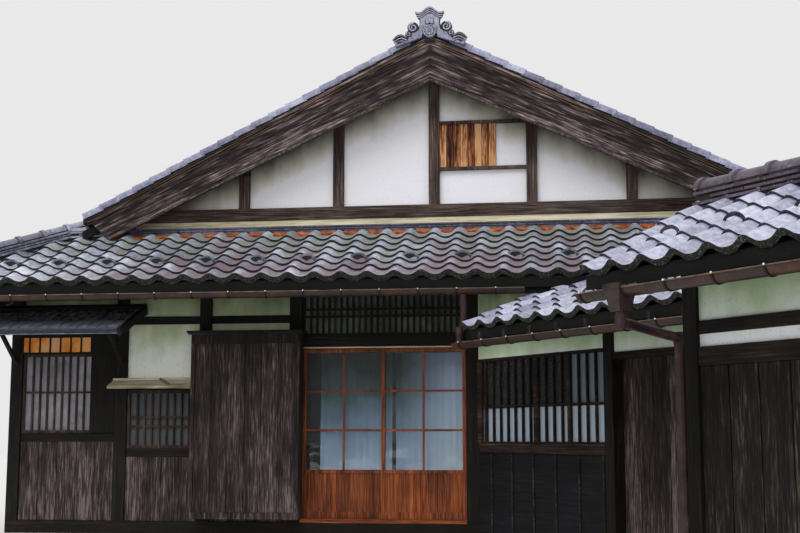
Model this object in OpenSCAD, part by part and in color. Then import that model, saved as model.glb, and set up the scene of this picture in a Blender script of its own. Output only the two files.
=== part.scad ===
// Timber-framed country house with a hip-and-gable tiled roof, an angled wing and a small front annex.
// X runs along the main front, Y into the house, Z up from the ground; the front face is Y = 0.

/* [House] */
// Length of the main front
house_w = 9100; // [8600:10:9600]
// Depth of the main house
house_d = 9100; // [7280:10:10920]
// Height of the footing strips
footing_h = 300; // [250:10:350]
// Width of the footing strips
footing_w = 200; // [150:10:260]
// Height of the sill beams
sill_h = 130; // [100:5:150]
// Side of the square posts
post_w = 130; // [110:5:140]
// Height of the floor boards above the sill beams
floor_rise = 40; // [30:5:60]
// Thickness of the raised floor
floor_t = 80; // [50:5:100]
// Thickness of the plaster
plaster_t = 60; // [40:5:70]
// Setback of the plaster behind the posts
plaster_in = 30; // [20:1:35]
// Thickness of the wall boards
board_t = 45; // [25:5:60]
// Depth of the rails between the posts
rail_d = 110; // [90:5:110]
// Underside of the wall plates above the ground
plate_z = 2885; // [2860:5:2900]

/* [Front wall] */
// Left bay, corner post to the next, centre to centre
left_bay = 1185; // [1100:5:1250]
// Bay of the low window
low_bay = 920; // [860:5:980]
// Bay behind the shutter box
box_bay = 980; // [930:5:1040]
// Bay of the glazed doors
door_bay = 1865; // [1800:5:1950]
// Underside of the upper rail
upper_rail_z = 2505; // [2470:5:2530]
// Height of the upper rail
upper_rail_h = 85; // [60:5:110]
// Bottom of the low window
low_window_z = 1190; // [1100:10:1250]
// Height of the low window
low_window_h = 610; // [550:10:650]
// Bottom of the left window
left_window_z = 1350; // [1300:10:1400]
// Height of the left window
left_window_h = 850; // [700:10:900]
// Height of a window sill or head rail
window_rail_h = 90; // [60:5:100]
// Reach of the board hood over the low window
hood_reach = 130; // [90:5:160]
// Thickness of the hoods
hood_t = 30; // [20:2:36]
// Top of the left canopy above the upper rail
canopy_up = 100; // [60:5:140]
// Reach of the left canopy past the post beside it
canopy_past = 240; // [180:5:260]
// Depth of the canopy brackets
bracket_h = 260; // [180:10:300]
// Reach of the left canopy
canopy_reach = 500; // [350:10:550]
// Fall of the left canopy
canopy_fall = 320; // [200:10:360]
// Thickness of the left canopy
canopy_t = 70; // [50:5:90]
// Reach of the shutter box from the wall
shutter_box_reach = 180; // [120:5:220]
// Bottom of the shutter box
shutter_box_z = 470; // [440:5:600]
// Top of the shutter box
shutter_box_top = 2420; // [2380:5:2460]
// Overlap of the shutter box past each post centre
shutter_box_side = 60; // [40:5:64]
// Lip of the cap past the shutter box
shutter_cap_lip = 30; // [15:5:40]
// Height of the shutter box cap
shutter_cap_h = 60; // [40:5:80]

/* [Glazed doors] */
// Head of the door opening
door_head_z = 2230; // [2190:5:2260]
// Height of the grooved head
door_head_h = 20; // [15:1:40]
// Height of the beam above the doors
door_beam_h = 110; // [90:5:130]
// Thickness of a leaf
leaf_t = 30; // [25:1:34]
// Space between the two tracks
track_gap = 10; // [6:1:14]
// Setback of the outer track
track_in = 28; // [20:1:34]
// Clearance at the side and top of a leaf
leaf_clear = 5; // [5:1:8]
// Width of the stiles and rails of a leaf
stile_w = 36; // [28:1:45]
// Width of the glazing bars
glazing_bar_w = 22; // [16:1:28]
// Depth of the glazing bars
glazing_bar_t = 12; // [8:1:14]
// Height of the solid panel below the glass
kick_h = 500; // [400:10:560]
// Thickness of the window glass
glass_t = 4; // [3:1:6]
// Pitch of the transom bars
transom_pitch = 63; // [50:1:90]
// Width of the transom bars
transom_bar_w = 22; // [14:1:30]
// Depth of all lattice bars
lattice_t = 25; // [18:1:30]
// Pitch of the window bars
window_pitch = 80; // [60:1:110]
// Width of the window bars
window_bar_w = 18; // [14:1:28]
// Rim round each lattice
rim_w = 30; // [20:1:40]

/* [Main roof] */
// Reach of the eaves past the walls
overhang = 800; // [650:10:900]
// Height of the tile edge at the eaves
eave_z = 2860; // [2840:5:2880]
// Rise of the front and back slopes for each unit of run
skirt_slope = 0.50; // [0.46:0.01:0.52]
// Rise of the side slopes for each unit of run
side_slope = 0.53; // [0.52:0.01:0.56]
// Columns of tiles along one slope of the main roof
roof_columns = 40; // [38:1:42]
// Width of the roll of a tile
roll_w = 216; // [196:2:226]
// Width of the top of the roll
roll_top_w = 64; // [50:2:80]
// Height of the roll above the trough
roll_h = 52; // [40:1:56]
// Setback of the rolls from the eave
roll_in = 30; // [28:2:50]
// Upright thickness of tiles and boarding
roof_t = 110; // [90:5:120]
// Upright depth of the rafters
rafter_h = 85; // [70:5:100]
// Width of the rafters
rafter_w = 55; // [45:5:70]
// Largest pitch of the rafters
rafter_pitch = 380; // [330:5:480]
// Thickness of the eave boards
eave_board_t = 24; // [18:2:30]
// Height of the eave boards
eave_board_h = 75; // [60:5:80]
// Setback of the eave boards from the tile edge
eave_board_in = 30; // [20:5:60]
// Width of the hip ridges
hip_ridge_w = 190; // [150:5:220]
// Height of the hip ridges above the tiles
hip_ridge_h = 130; // [100:5:160]
// Share of each hip that its ridge covers
hip_ridge_part = 0.84; // [0.75:0.01:0.86]
// Width of the main ridge at its foot
ridge_w = 260; // [220:10:300]
// Height of one ridge layer
ridge_layer_h = 32; // [24:1:36]
// Radius of the round cap tiles
cap_r = 72; // [55:1:80]

/* [Gable] */
// Setback of the gable wall behind the front
gable_in = 720; // [650:10:800]
// Thickness of the gable wall
gable_t = 120; // [100:5:140]
// Reach of the gable roof past the gable wall
gable_reach = 370; // [300:10:420]
// Underside of the base beam
gable_beam_z = 3770; // [3740:5:3800]
// Height of the base beam
gable_beam_h = 100; // [80:5:120]
// Spacing of the struts
strut_pitch = 1085; // [1000:5:1150]
// Width of the struts
strut_w = 120; // [100:5:130]
// Height of the purlins
purlin_h = 150; // [120:5:170]
// Height of the wall tiles at the gable foot
noshi_h = 45; // [30:5:60]
// Reach of the wall tiles at the gable foot
noshi_reach = 130; // [100:5:160]
// Bottom of the board shutter
gable_shutter_z = 4290; // [4250:5:4320]
// Height of the board shutter
gable_shutter_h = 490; // [420:5:500]
// Width of the board shutter
gable_shutter_w = 630; // [500:5:700]
// Height of the two rails at the board shutter
gable_rail_h = 35; // [25:1:45]
// Top of the verge at the ridge, above the tiles
verge_rise = 105; // [95:5:115]
// Fall of the verge for each unit of run
verge_slope = 0.509; // [0.500:0.001:0.512]
// Height of the verge tiles
verge_h = 100; // [85:5:100]
// Width of the verge tiles
verge_w = 250; // [200:10:280]
// Distance of the verge foot in from the side eave
verge_foot_in = 1400; // [1370:5:1430]
// Height of the bargeboards at the ridge
barge_h = 505; // [460:5:530]
// Fall of the lower edge of the bargeboards
barge_slope = 0.47; // [0.460:0.001:0.475]
// Height of the moulding along the top of the bargeboards
moulding_h = 65; // [40:5:90]
// Reach of each of its two steps
moulding_out = 9; // [4:1:10]
// Thickness of the bargeboards
barge_t = 40; // [30:1:50]
// Width of the ridge-end ornament
ornament_w = 860; // [800:10:900]
// Thickness of the ridge-end ornament
ornament_t = 60; // [50:2:80]
// Radius of the round boss on the ornament
boss_r = 72; // [60:1:80]

/* [Wing] */
// Angle between the wing and the main front
wing_angle = 51.3; // [50:0.1:53]
// Length of the wing
wing_l = 6700; // [6500:10:7000]
// Depth of the wing
wing_d = 1820; // [1700:10:1900]
// Height of the wing footings
wing_footing_h = 110; // [80:5:140]
// Height of the wing sills
wing_sill_h = 120; // [100:5:140]
// Side of the wing posts
wing_post_w = 120; // [100:5:120]
// Underside of the wing plates
wing_plate_z = 2300; // [2280:5:2310]
// Bottom of the wing window
wing_window_z = 1230; // [1180:10:1280]
// Height of the wing window
wing_window_h = 870; // [800:10:890]
// Width of the wing window bay
wing_window_bay = 2030; // [1950:5:2100]
// Bottom of the rear window of the wing
rear_window_z = 1650; // [1300:10:1700]
// Height of the rear window of the wing
rear_window_h = 450; // [350:10:550]
// Width of the wing door opening
wing_door_w = 1150; // [1000:5:1200]
// Height of the wing door opening
wing_door_h = 1760; // [1700:10:1800]
// Thickness of the boarded door
wing_door_t = 32; // [26:1:40]
// Lap of the boarded door behind each post
wing_door_lap = 30; // [20:1:40]
// Travel of the boarded door
wing_door_travel = 1100; // [700:10:1100]
// Height of the rails over the wing openings
wing_rail_h = 60; // [50:5:80]
// Pitch of the wing window bars
wing_pitch = 122; // [90:1:150]
// Width of the wing's window bars
wing_bar_w = 16; // [12:1:24]
// Reach of the wing eaves
wing_overhang = 780; // [700:10:820]
// Height of the wing tile edge
wing_eave_z = 2300; // [2290:5:2310]
// Rise of the wing roof for each unit of run
wing_slope = 0.40; // [0.38:0.01:0.42]
// Upright thickness of the wing roof
wing_roof_t = 95; // [80:5:100]
// Left edge of the wing roof
wing_verge = 970; // [950:10:1050]
// Reach of the wing and annex roofs past the end wall
end_reach = 280; // [200:10:350]

/* [Annex] */
// Start of the annex along the wing
annex_start = 4745; // [4600:5:4850]
// Reach of the annex before the wing
annex_d = 1620; // [1500:10:1700]
// Top of the annex boards
annex_boards_z = 1750; // [1700:5:1800]
// Height of the annex lintel
annex_lintel_h = 120; // [90:5:140]
// Underside of the annex beam
annex_beam_z = 1950; // [1920:5:1980]
// Height of the annex beam
annex_beam_h = 85; // [60:5:110]
// Reach of the annex eave
annex_overhang = 610; // [550:10:650]
// Height of the annex tile edge
annex_eave_z = 2320; // [2310:5:2330]
// Rise of the annex roof for each unit of run
annex_slope = 0.50; // [0.48:0.01:0.52]
// Run from the annex eave to its ridge
annex_run = 1050; // [1000:10:1100]
// Reach of the annex roof past its left wall
annex_verge = 215; // [180:5:260]

/* [Rainwater] */
// Outer radius of the gutters
gutter_r = 55; // [45:1:60]
// Wall of the gutters
gutter_t = 4; // [3:1:6]
// Drop from the tile edge to the gutter rim
gutter_drop = 125; // [115:1:135]
// Gap between the tile edge and the gutter
gutter_out = 50; // [40:1:60]
// Reach of the main gutter past the corner of the wing
gutter_past = 560; // [400:10:610]
// Radius of the downpipes
pipe_r = 32; // [26:1:38]
// Thickness of the collars at the pipe bends
pipe_collar = 4; // [3:1:8]
// Side of the rain hopper
hopper_w = 150; // [145:5:200]
// Side of the hopper's foot
hopper_foot = 90; // [80:2:120]
// Lip of the hopper's rim
hopper_rim = 6; // [4:1:10]
// Height of the hopper's rim
hopper_rim_h = 34; // [20:2:50]
// Height of the rain hopper
hopper_h = 170; // [150:5:220]
// Rise of the hopper above the gutter rim
hopper_rise = 30; // [10:5:60]
// Place of the hopper past the annex corner
hopper_past = 165; // [120:5:300]

/* [Hidden] */
$fn = 48;

// Joint left between neighbouring solids of one piece
joint = 2;
// Gap that a loose piece keeps from its seat
seat = 0.3;
// Larger than any half of the house
far = 20000;

hw = house_w / 2;
sill_top = footing_h + sill_h;
floor_top = sill_top + floor_rise;
inner = post_w;
plaster_out = plaster_in + plaster_t;
rail_in = post_w - rail_d;

// Post centres along the front, left to right
x_low = -hw + post_w / 2 + left_bay;
x_box = x_low + low_bay;
x_door = x_box + box_bay;
x_wing = x_door + door_bay;
x_corner = hw - post_w / 2;
x_mid = (x_wing + x_corner) / 2;
front_x = [-x_corner, x_low, x_box, x_door, x_wing, x_mid, x_corner];
door_x0 = x_door + post_w / 2;
door_x1 = x_wing - post_w / 2;
low_rails_up = [low_window_h * 0.36, low_window_h * 0.52];

// Post centres along the sides and back
side_bays = 5;
side_y = [for (i = [1:side_bays - 1]) post_w / 2 + i * (house_d - post_w) / side_bays];
back_x = [for (i = [0:side_bays]) -x_corner + i * 2 * x_corner / side_bays];
side_edges = concat([post_w / 2], side_y, [house_d - post_w / 2]);

// Heights of the tile surface
function front_top(y) = eave_z + skirt_slope * (y + overhang);
function side_top(x) = eave_z + side_slope * (hw + overhang - abs(x));
function verge_top(x) = side_top(0) + verge_rise - verge_slope * abs(x);
function barge_top(x) = verge_top(x) - verge_h;
function barge_low(x) = barge_top(0) - barge_h - barge_slope * abs(x);
plate_top = front_top(0) - roof_t - rafter_h;
side_plate_top = side_top(hw) - roof_t - rafter_h;
verge_y = gable_in - gable_reach;
hip_x = hw + overhang - skirt_slope * (gable_in + overhang) / side_slope;
verge_run = hw + overhang - verge_foot_in;
tie_top = gable_beam_z;
boss_seat = 8;
moulding_x = boss_r * 0.7;
tile_w = 2 * (hw + overhang) / roof_columns;
roll_share = 0.14;
roll_seat = 5;
roll_side_h = roll_h / 8;
roll_clear = 6;
roll_end = 120;
boss_up = 42;
kick_in = leaf_t / 3;
bottom_rail_h = stile_w * 2;
ridge_groove = 12;
ridge_taper = 8;
hip_tail = 60;
hip_bed = 80;
hip_cap_in = 25;
noshi_lean = 10;
bracket_w = 20;
strap_t = 4;
arm_t = 6;

// Frame of the wing: x along its front, y into it
sin_w = sin(wing_angle);
cos_w = cos(wing_angle);
wing_x0 = x_wing + 25;
gutter_end = wing_x0 + gutter_past;
wing_sill_top = wing_footing_h + wing_sill_h;
wing_ridge_y = wing_d / 2;
wing_plate_h = wing_top(0) - wing_roof_t - rafter_h + 15 - wing_plate_z;
wing_post_s = wing_window_bay + wing_post_w;
wing_rail_up = wing_window_h * 0.43;
wing_door_end = wing_post_s + wing_door_w;
roof_end = wing_l + end_reach;
eave_clear = overhang + gutter_out + gutter_r + 15;
low_clear_y = (eave_z - roof_t - rafter_h - 25 - wing_eave_z) / wing_slope - wing_overhang;
function wing_top(y) = wing_eave_z + wing_slope * (min(y, wing_d - y) + wing_overhang);
function beside_eave(y) = (eave_clear + cos_w * y) / sin_w;

annex_ridge_y = annex_run - annex_d - annex_overhang;
annex_ridge_z = annex_eave_z + annex_slope * annex_run;
valley_y = (annex_ridge_z + annex_slope * annex_ridge_y - wing_eave_z - wing_slope * wing_overhang)
    / (annex_slope + wing_slope);
annex_left = annex_start - annex_verge;
annex_plate_z = wing_plate_z - 20;
annex_plate_top = annex_top(-annex_d) - wing_roof_t - rafter_h + 15;
function annex_top(y) = annex_ridge_z - annex_slope * abs(y - annex_ridge_y);

// Box from its limits along the three axes
module box(x0, x1, y0, y1, z0, z1) {
    translate([x0, y0, z0]) cube([x1 - x0, y1 - y0, z1 - z0]);
}

// Outline in X and Z, carried along Y
module along_y(y0, y1) {
    translate([0, y1, 0]) rotate([90, 0, 0]) linear_extrude(y1 - y0) children();
}

// Outline in Y and Z, carried along X
module along_x(x0, x1) {
    translate([x0, 0, 0]) rotate([90, 0, 90]) linear_extrude(x1 - x0) children();
}

// Copy for both sides of the house
module both_sides() {
    children();
    mirror([1, 0, 0]) children();
}

// Copy for the front and the back of the house
module both_ends() {
    children();
    translate([0, house_d, 0]) mirror([0, 1, 0]) children();
}

module at_wing() {
    translate([wing_x0, 0, 0]) rotate([0, 0, -wing_angle]) children();
}

// Keeps what lies before the main front
module before_house() {
    intersection() {
        children();
        box(-far, far, -far, -joint, -far, far);
    }
}

// Flat lattice with a rim, upright bars and cross rails at given heights
module lattice(w, h, pitch, bar, cross) {
    bars = floor((w - 2 * rim_w) / pitch);
    step = (w - 2 * rim_w) / bars;
    linear_extrude(lattice_t) {
        difference() {
            square([w, h]);
            translate([rim_w, rim_w]) square([w - 2 * rim_w, h - 2 * rim_w]);
        }
        for (i = [1:bars - 1]) translate([rim_w + i * step - bar / 2, 0]) square([bar, h]);
        for (z = cross) translate([0, z]) square([w, bar]);
    }
}

// Stands a flat lattice up, with its outer face at the given depth
module upright(x, y, z) {
    translate([x, y + lattice_t, z]) rotate([90, 0, 0]) children();
}

module foundation() {
    color("dimgray") linear_extrude(footing_h) difference() {
        square_frame(footing_w);
        for (sx = [-1, 1]) for (y = [footing_w, house_d - footing_w])
            translate([sx * hw - footing_w, y - joint / 2]) square([2 * footing_w, joint]);
    }
    color("dimgray") before_house() at_wing() {
        box(-far, wing_l, 0, footing_w, 0, wing_footing_h);
        box(-far, wing_l, wing_d - footing_w, wing_d, 0, wing_footing_h);
        box(wing_l - footing_w, wing_l, footing_w + joint, wing_d - footing_w - joint, 0, wing_footing_h);
        box(annex_start, annex_start + footing_w, -annex_d, -joint, 0, wing_footing_h);
        box(annex_start + footing_w + joint, wing_l, -annex_d, footing_w - annex_d, 0, wing_footing_h);
        box(wing_l - footing_w, wing_l, footing_w + joint - annex_d, -joint, 0, wing_footing_h);
    }
}

module square_frame(w) {
    difference() {
        translate([-hw, 0]) square([house_w, house_d]);
        translate([w - hw, w]) square([house_w - 2 * w, house_d - 2 * w]);
    }
}

module sill_beams() {
    color("#3a2f28") {
        both_ends() box(-hw, hw, 0, post_w, footing_h, sill_top);
        both_sides() box(-hw, post_w - hw, post_w + joint, house_d - post_w - joint, footing_h, sill_top);
    }
}

module main_floor() {
    color("#8a6a48") box(post_w - hw, hw - post_w, post_w, house_d - post_w, floor_top - floor_t, floor_top);
}

module post(x, y, z0 = sill_top, z1 = plate_z) {
    box(x - post_w / 2, x + post_w / 2, y - post_w / 2, y + post_w / 2, z0, z1);
}

module front_posts() {
    color("#33281f") for (x = front_x) post(x, post_w / 2);
}

module side_posts() {
    color("#33281f") both_sides() for (y = side_y) post(x_corner, y);
}

module back_posts() {
    color("#33281f") for (x = back_x) post(x, house_d - post_w / 2);
}

module wall_plates() {
    color("#3a2f28") {
        both_ends() box(-hw, hw, 0, post_w, plate_z, plate_top);
        both_sides() box(hw - post_w, hw, post_w + joint, house_d - post_w - joint, plate_z, side_plate_top);
    }
}

// Rail between two neighbouring posts of the front, by the index of the left one
module front_rail(i, z, h) {
    box(front_x[i] + post_w / 2, front_x[i + 1] - post_w / 2, rail_in, post_w, z, z + h);
}

module front_rails() {
    color("#3a2f28") {
        for (i = [0:2]) front_rail(i, upper_rail_z, upper_rail_h);
        front_rail(0, left_window_z - window_rail_h, window_rail_h);
        front_rail(0, left_window_z + left_window_h, window_rail_h);
        front_rail(1, low_window_z - window_rail_h, window_rail_h);
        front_rail(1, low_window_z + low_window_h, window_rail_h);
        front_rail(3, door_head_z + door_head_h, door_beam_h);
        for (i = [4:5]) front_rail(i, low_window_z - window_rail_h, window_rail_h);
    }
}

module front_panel(i, z0, z1, d0, d1) {
    box(front_x[i] + post_w / 2, front_x[i + 1] - post_w / 2, d0, d1, z0, z1);
}

module front_plaster() {
    color("#d9dccf") {
        for (i = [0:2]) front_panel(i, upper_rail_z + upper_rail_h, plate_z, plaster_in, plaster_out);
        front_panel(0, left_window_z + left_window_h + window_rail_h, upper_rail_z, plaster_in, plaster_out);
        front_panel(1, low_window_z + low_window_h + window_rail_h, upper_rail_z, plaster_in, plaster_out);
        front_panel(2, shutter_box_top, upper_rail_z, plaster_in, plaster_out);
        for (i = [4:5]) front_panel(i, low_window_z, plate_z, plaster_in, plaster_out);
    }
}

module front_boards() {
    color("#4a3b31") {
        front_panel(0, sill_top, left_window_z - window_rail_h, plaster_in, plaster_in + board_t);
        front_panel(1, sill_top, low_window_z - window_rail_h, plaster_in, plaster_in + board_t);
        front_panel(2, sill_top, shutter_box_top, plaster_in, plaster_in + board_t);
        for (i = [4:5]) front_panel(i, sill_top, low_window_z - window_rail_h, plaster_in, plaster_in + board_t);
    }
}

// Wall rectangle on the right side, mirrored for the left: bay, heights and depths from the outer face
module side_panel(i, z0, z1, d0, d1) {
    box(hw - d1, hw - d0, side_edges[i] + post_w / 2, side_edges[i + 1] - post_w / 2, z0, z1);
}

module back_panel(i, z0, z1, d0, d1) {
    box(back_x[i] + post_w / 2, back_x[i + 1] - post_w / 2, house_d - d1, house_d - d0, z0, z1);
}

side_window_bays = [1, 3];
side_window_top = low_window_z + left_window_h;

module side_rails() {
    color("#3a2f28") {
        both_sides() for (i = [0:side_bays - 1])
            side_panel(i, low_window_z - window_rail_h, low_window_z, rail_in, post_w);
        both_sides() for (i = side_window_bays)
            side_panel(i, side_window_top, side_window_top + window_rail_h, rail_in, post_w);
        for (i = [0:side_bays - 1]) back_panel(i, low_window_z - window_rail_h, low_window_z, rail_in, post_w);
        for (i = side_window_bays) back_panel(i, side_window_top, side_window_top + window_rail_h, rail_in, post_w);
    }
}

module side_plaster() {
    color("#d9dccf") both_sides() {
        for (i = [0, 2, 4]) side_panel(i, low_window_z, plate_z, plaster_in, plaster_out);
        for (i = side_window_bays)
            side_panel(i, side_window_top + window_rail_h, plate_z, plaster_in, plaster_out);
    }
}

module back_plaster() {
    color("#d9dccf") {
        for (i = [0, 2, 4]) back_panel(i, low_window_z, plate_z, plaster_in, plaster_out);
        for (i = side_window_bays)
            back_panel(i, side_window_top + window_rail_h, plate_z, plaster_in, plaster_out);
    }
}

module side_boards() {
    color("#4a3b31") for (i = [0:side_bays - 1]) {
        both_sides() side_panel(i, sill_top, low_window_z - window_rail_h, plaster_in, plaster_in + board_t);
        back_panel(i, sill_top, low_window_z - window_rail_h, plaster_in, plaster_in + board_t);
    }
}

side_window_w = side_edges[1] - side_edges[0] - post_w;
back_window_w = back_x[1] - back_x[0] - post_w;

module side_lattices() {
    color("#33281f") {
        both_sides() for (i = side_window_bays)
            translate([hw - plaster_in - lattice_t, side_edges[i] + post_w / 2, low_window_z])
                rotate([90, 0, 90]) lattice(side_window_w, left_window_h, window_pitch, window_bar_w,
                    [left_window_h / 2]);
        for (i = side_window_bays)
            translate([back_x[i] + post_w / 2, house_d - plaster_in, low_window_z])
                rotate([90, 0, 0]) lattice(back_window_w, left_window_h, window_pitch, window_bar_w,
                    [left_window_h / 2]);
    }
}

glass_in = plaster_in + lattice_t + 10;

module side_glass() {
    color("#a8b4b4") {
        both_sides() for (i = side_window_bays)
            side_panel(i, low_window_z, side_window_top, glass_in, glass_in + glass_t);
        for (i = side_window_bays)
            back_panel(i, low_window_z, side_window_top, glass_in, glass_in + glass_t);
    }
}

module front_lattices() {
    color("#33281f") {
        upright(front_x[0] + post_w / 2, plaster_in, left_window_z)
            lattice(left_bay - post_w, left_window_h, window_pitch, window_bar_w, [left_window_h / 2]);
        upright(front_x[1] + post_w / 2, plaster_in, low_window_z)
            lattice(low_bay - post_w, low_window_h, window_pitch, window_bar_w,
                low_rails_up);
    }
}

module front_glass() {
    color("#a8b4b4") {
        front_panel(0, left_window_z, left_window_z + left_window_h, glass_in, glass_in + glass_t);
        front_panel(1, low_window_z, low_window_z + low_window_h, glass_in, glass_in + glass_t);
    }
}

canopy_z = upper_rail_z + upper_rail_h + canopy_up;

module window_hoods() {
    hood_z = low_window_z + low_window_h + window_rail_h;
    color("#4a3b31") along_x(x_low - post_w / 2 - 20, x_box - shutter_box_side - joint)
        polygon([[0, hood_z], [0, hood_z + hood_t], [-hood_reach, hood_z], [-hood_reach, hood_z - hood_t]]);
    color("#2c2a2a") along_x(-hw - canopy_past / 2, x_low + canopy_past)
        polygon([[0, canopy_z - canopy_t], [0, canopy_z], [-canopy_reach, canopy_z - canopy_fall],
            [-canopy_reach, canopy_z - canopy_fall - canopy_t]]);
    bracket_y = eave_board_in - canopy_reach;
    color("#33281f") for (x = [-x_corner, x_low])
        along_x(x - lattice_t, x + lattice_t) polygon([[0, canopy_z - canopy_t - bracket_h], [0, canopy_z - canopy_t],
            [bracket_y, canopy_z - canopy_t + canopy_fall * bracket_y / canopy_reach],
            [bracket_y, canopy_z - canopy_t - canopy_fall - post_w / 3]]);
}

module shutter_box() {
    x0 = x_box - shutter_box_side;
    x1 = x_door + shutter_box_side;
    color("#4d4341") {
        box(x0, x1, -shutter_box_reach, 0, shutter_box_z, shutter_box_top - shutter_cap_h);
        along_x(x0 - shutter_cap_lip, x1 + shutter_cap_lip) polygon([[0, shutter_box_top - shutter_cap_h],
            [0, shutter_box_top], [-shutter_box_reach - shutter_cap_lip, shutter_box_top - shutter_cap_h / 3],
            [-shutter_box_reach - shutter_cap_lip, shutter_box_top - shutter_cap_h]]);
    }
}

module door_frame() {
    color("#4a3526") {
        box(door_x0, door_x1, 0, post_w, sill_top, floor_top);
        box(door_x0, door_x1, rail_in, post_w, door_head_z, door_head_z + door_head_h);
        box(door_x0 - 60, door_x1 + 60, post_w, post_w + 20, door_head_z - 40, door_head_z - 15);
    }
}

leaf_w = (door_x1 - door_x0 - 2 * leaf_clear + stile_w) / 2;
leaf_h = door_head_z - leaf_clear - floor_top - seat;
pane_h = leaf_h - kick_h - stile_w;

// Glazed leaf: stiles and rails at full thickness, glazing bars at the outer face
module leaf_frame() {
    difference() {
        cube([leaf_w, leaf_t, leaf_h]);
        box(stile_w, leaf_w - stile_w, -1, leaf_t + 1, kick_h, leaf_h - stile_w);
        box(stile_w, leaf_w - stile_w, -1, kick_in, bottom_rail_h, kick_h - stile_w);
    }
    box(leaf_w / 2 - glazing_bar_w / 2, leaf_w / 2 + glazing_bar_w / 2, 0, glazing_bar_t, kick_h, leaf_h - stile_w);
    for (i = [1:2]) box(stile_w, leaf_w - stile_w, 0, glazing_bar_t,
        kick_h + i * pane_h / 3 - glazing_bar_w / 2, kick_h + i * pane_h / 3 + glazing_bar_w / 2);
}

module leaf_glass() {
    box(stile_w, leaf_w - stile_w, glazing_bar_t, glazing_bar_t + glass_t, kick_h, leaf_h - stile_w);
}

module at_left_leaf() {
    translate([door_x0 + leaf_clear, track_in + leaf_t + track_gap, floor_top + seat]) children();
}

module at_right_leaf() {
    translate([door_x1 - leaf_clear - leaf_w, track_in, floor_top + seat]) children();
}

module left_leaf_frame() {
    color("#8a4a2c") at_left_leaf() leaf_frame();
}

module left_leaf_glass() {
    color("#a8b4b4") at_left_leaf() leaf_glass();
}

module right_leaf_frame() {
    color("#8a4a2c") at_right_leaf() leaf_frame();
}

module right_leaf_glass() {
    color("#a8b4b4") at_right_leaf() leaf_glass();
}

transom_z = door_head_z + door_head_h + door_beam_h;

module transom_lattice() {
    color("#33281f") upright(door_x0, plaster_in, transom_z)
        lattice(door_x1 - door_x0, plate_z - transom_z, transom_pitch, transom_bar_w, [195, 270]);
}

module transom_panel() {
    color("#c9cfc8") front_panel(3, transom_z, plate_z, glass_in, glass_in + glass_t);
}

module curtains() {
    mid = (door_x0 + door_x1) / 2;
    color("#d8dee0") {
        box(door_x0 + 180, mid - 5, post_w + 2, post_w + 18, floor_top + 60, door_head_z - 40);
        box(mid + 5, door_x1 - 10, post_w + 2, post_w + 18, floor_top + 60, door_head_z - 40);
    }
}

// Rafter under a front slope, from near the tile edge to the inner face of the plate
module front_rafter(x) {
    y0 = eave_board_in + eave_board_t - overhang;
    along_x(x - rafter_w / 2, x + rafter_w / 2) polygon([[y0, front_top(y0) - roof_t],
        [post_w, front_top(post_w) - roof_t], [post_w, front_top(post_w) - roof_t - rafter_h],
        [y0, front_top(y0) - roof_t - rafter_h]]);
}

module side_rafter(y) {
    x0 = hw - post_w;
    x1 = hw + overhang - eave_board_in - eave_board_t;
    along_y(y - rafter_w / 2, y + rafter_w / 2) polygon([[x0, side_top(x0) - roof_t], [x1, side_top(x1) - roof_t],
        [x1, side_top(x1) - roof_t - rafter_h], [x0, side_top(x0) - roof_t - rafter_h]]);
}

module wing_rafter(s, top_y, reach, z_at, rise) {
    y0 = -reach + eave_board_in + eave_board_t;
    along_x(s - rafter_w / 2, s + rafter_w / 2) translate([top_y, z_at - wing_roof_t]) polygon([
        [y0, (y0 + reach) * rise], [wing_post_w, (wing_post_w + reach) * rise],
        [wing_post_w, (wing_post_w + reach) * rise - rafter_h + 15], [y0, (y0 + reach) * rise - rafter_h + 15]]);
}

module rafters() {
    front_n = ceil((house_w - 2 * post_w) / rafter_pitch);
    side_n = ceil((house_d - 2 * post_w) / rafter_pitch);
    color("#3a2f28") {
        both_ends() for (i = [0:front_n]) front_rafter(post_w - hw + i * (house_w - 2 * post_w) / front_n);
        both_sides() for (i = [1:side_n - 1]) side_rafter(post_w + i * (house_d - 2 * post_w) / side_n);
        at_wing() {
            for (s = [wing_verge + 60:rafter_pitch:annex_left - 60])
                wing_rafter(s, 0, wing_overhang, wing_eave_z, wing_slope);
            for (s = [annex_left + 60:rafter_pitch:roof_end - 60])
                wing_rafter(s, -annex_d, annex_overhang, annex_eave_z, annex_slope);
        }
    }
}

module eave_boards() {
    y0 = eave_board_in - overhang;
    z0 = front_top(y0) - roof_t - eave_board_h;
    x1 = hw + overhang - eave_board_in;
    color("#3a2f28") {
        both_ends() box(-x1 + eave_board_t + joint, x1 - eave_board_t - joint, y0, y0 + eave_board_t, z0, z0 + eave_board_h);
        both_sides() box(x1 - eave_board_t, x1, y0, house_d - y0, z0, z0 + eave_board_h);
    }
}

// Front slope of the skirt, bounded by the hips and the gable wall
// Section of one roll of the tiles, across the slope
module roll_section(middle) {
    polygon([[middle - roll_w / 2, -roll_seat], [middle - roll_w / 2, roll_side_h], [middle - roll_top_w / 2, roll_h],
        [middle + roll_top_w / 2, roll_h], [middle + roll_w / 2, roll_side_h], [middle + roll_w / 2, -roll_seat]]);
}

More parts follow.
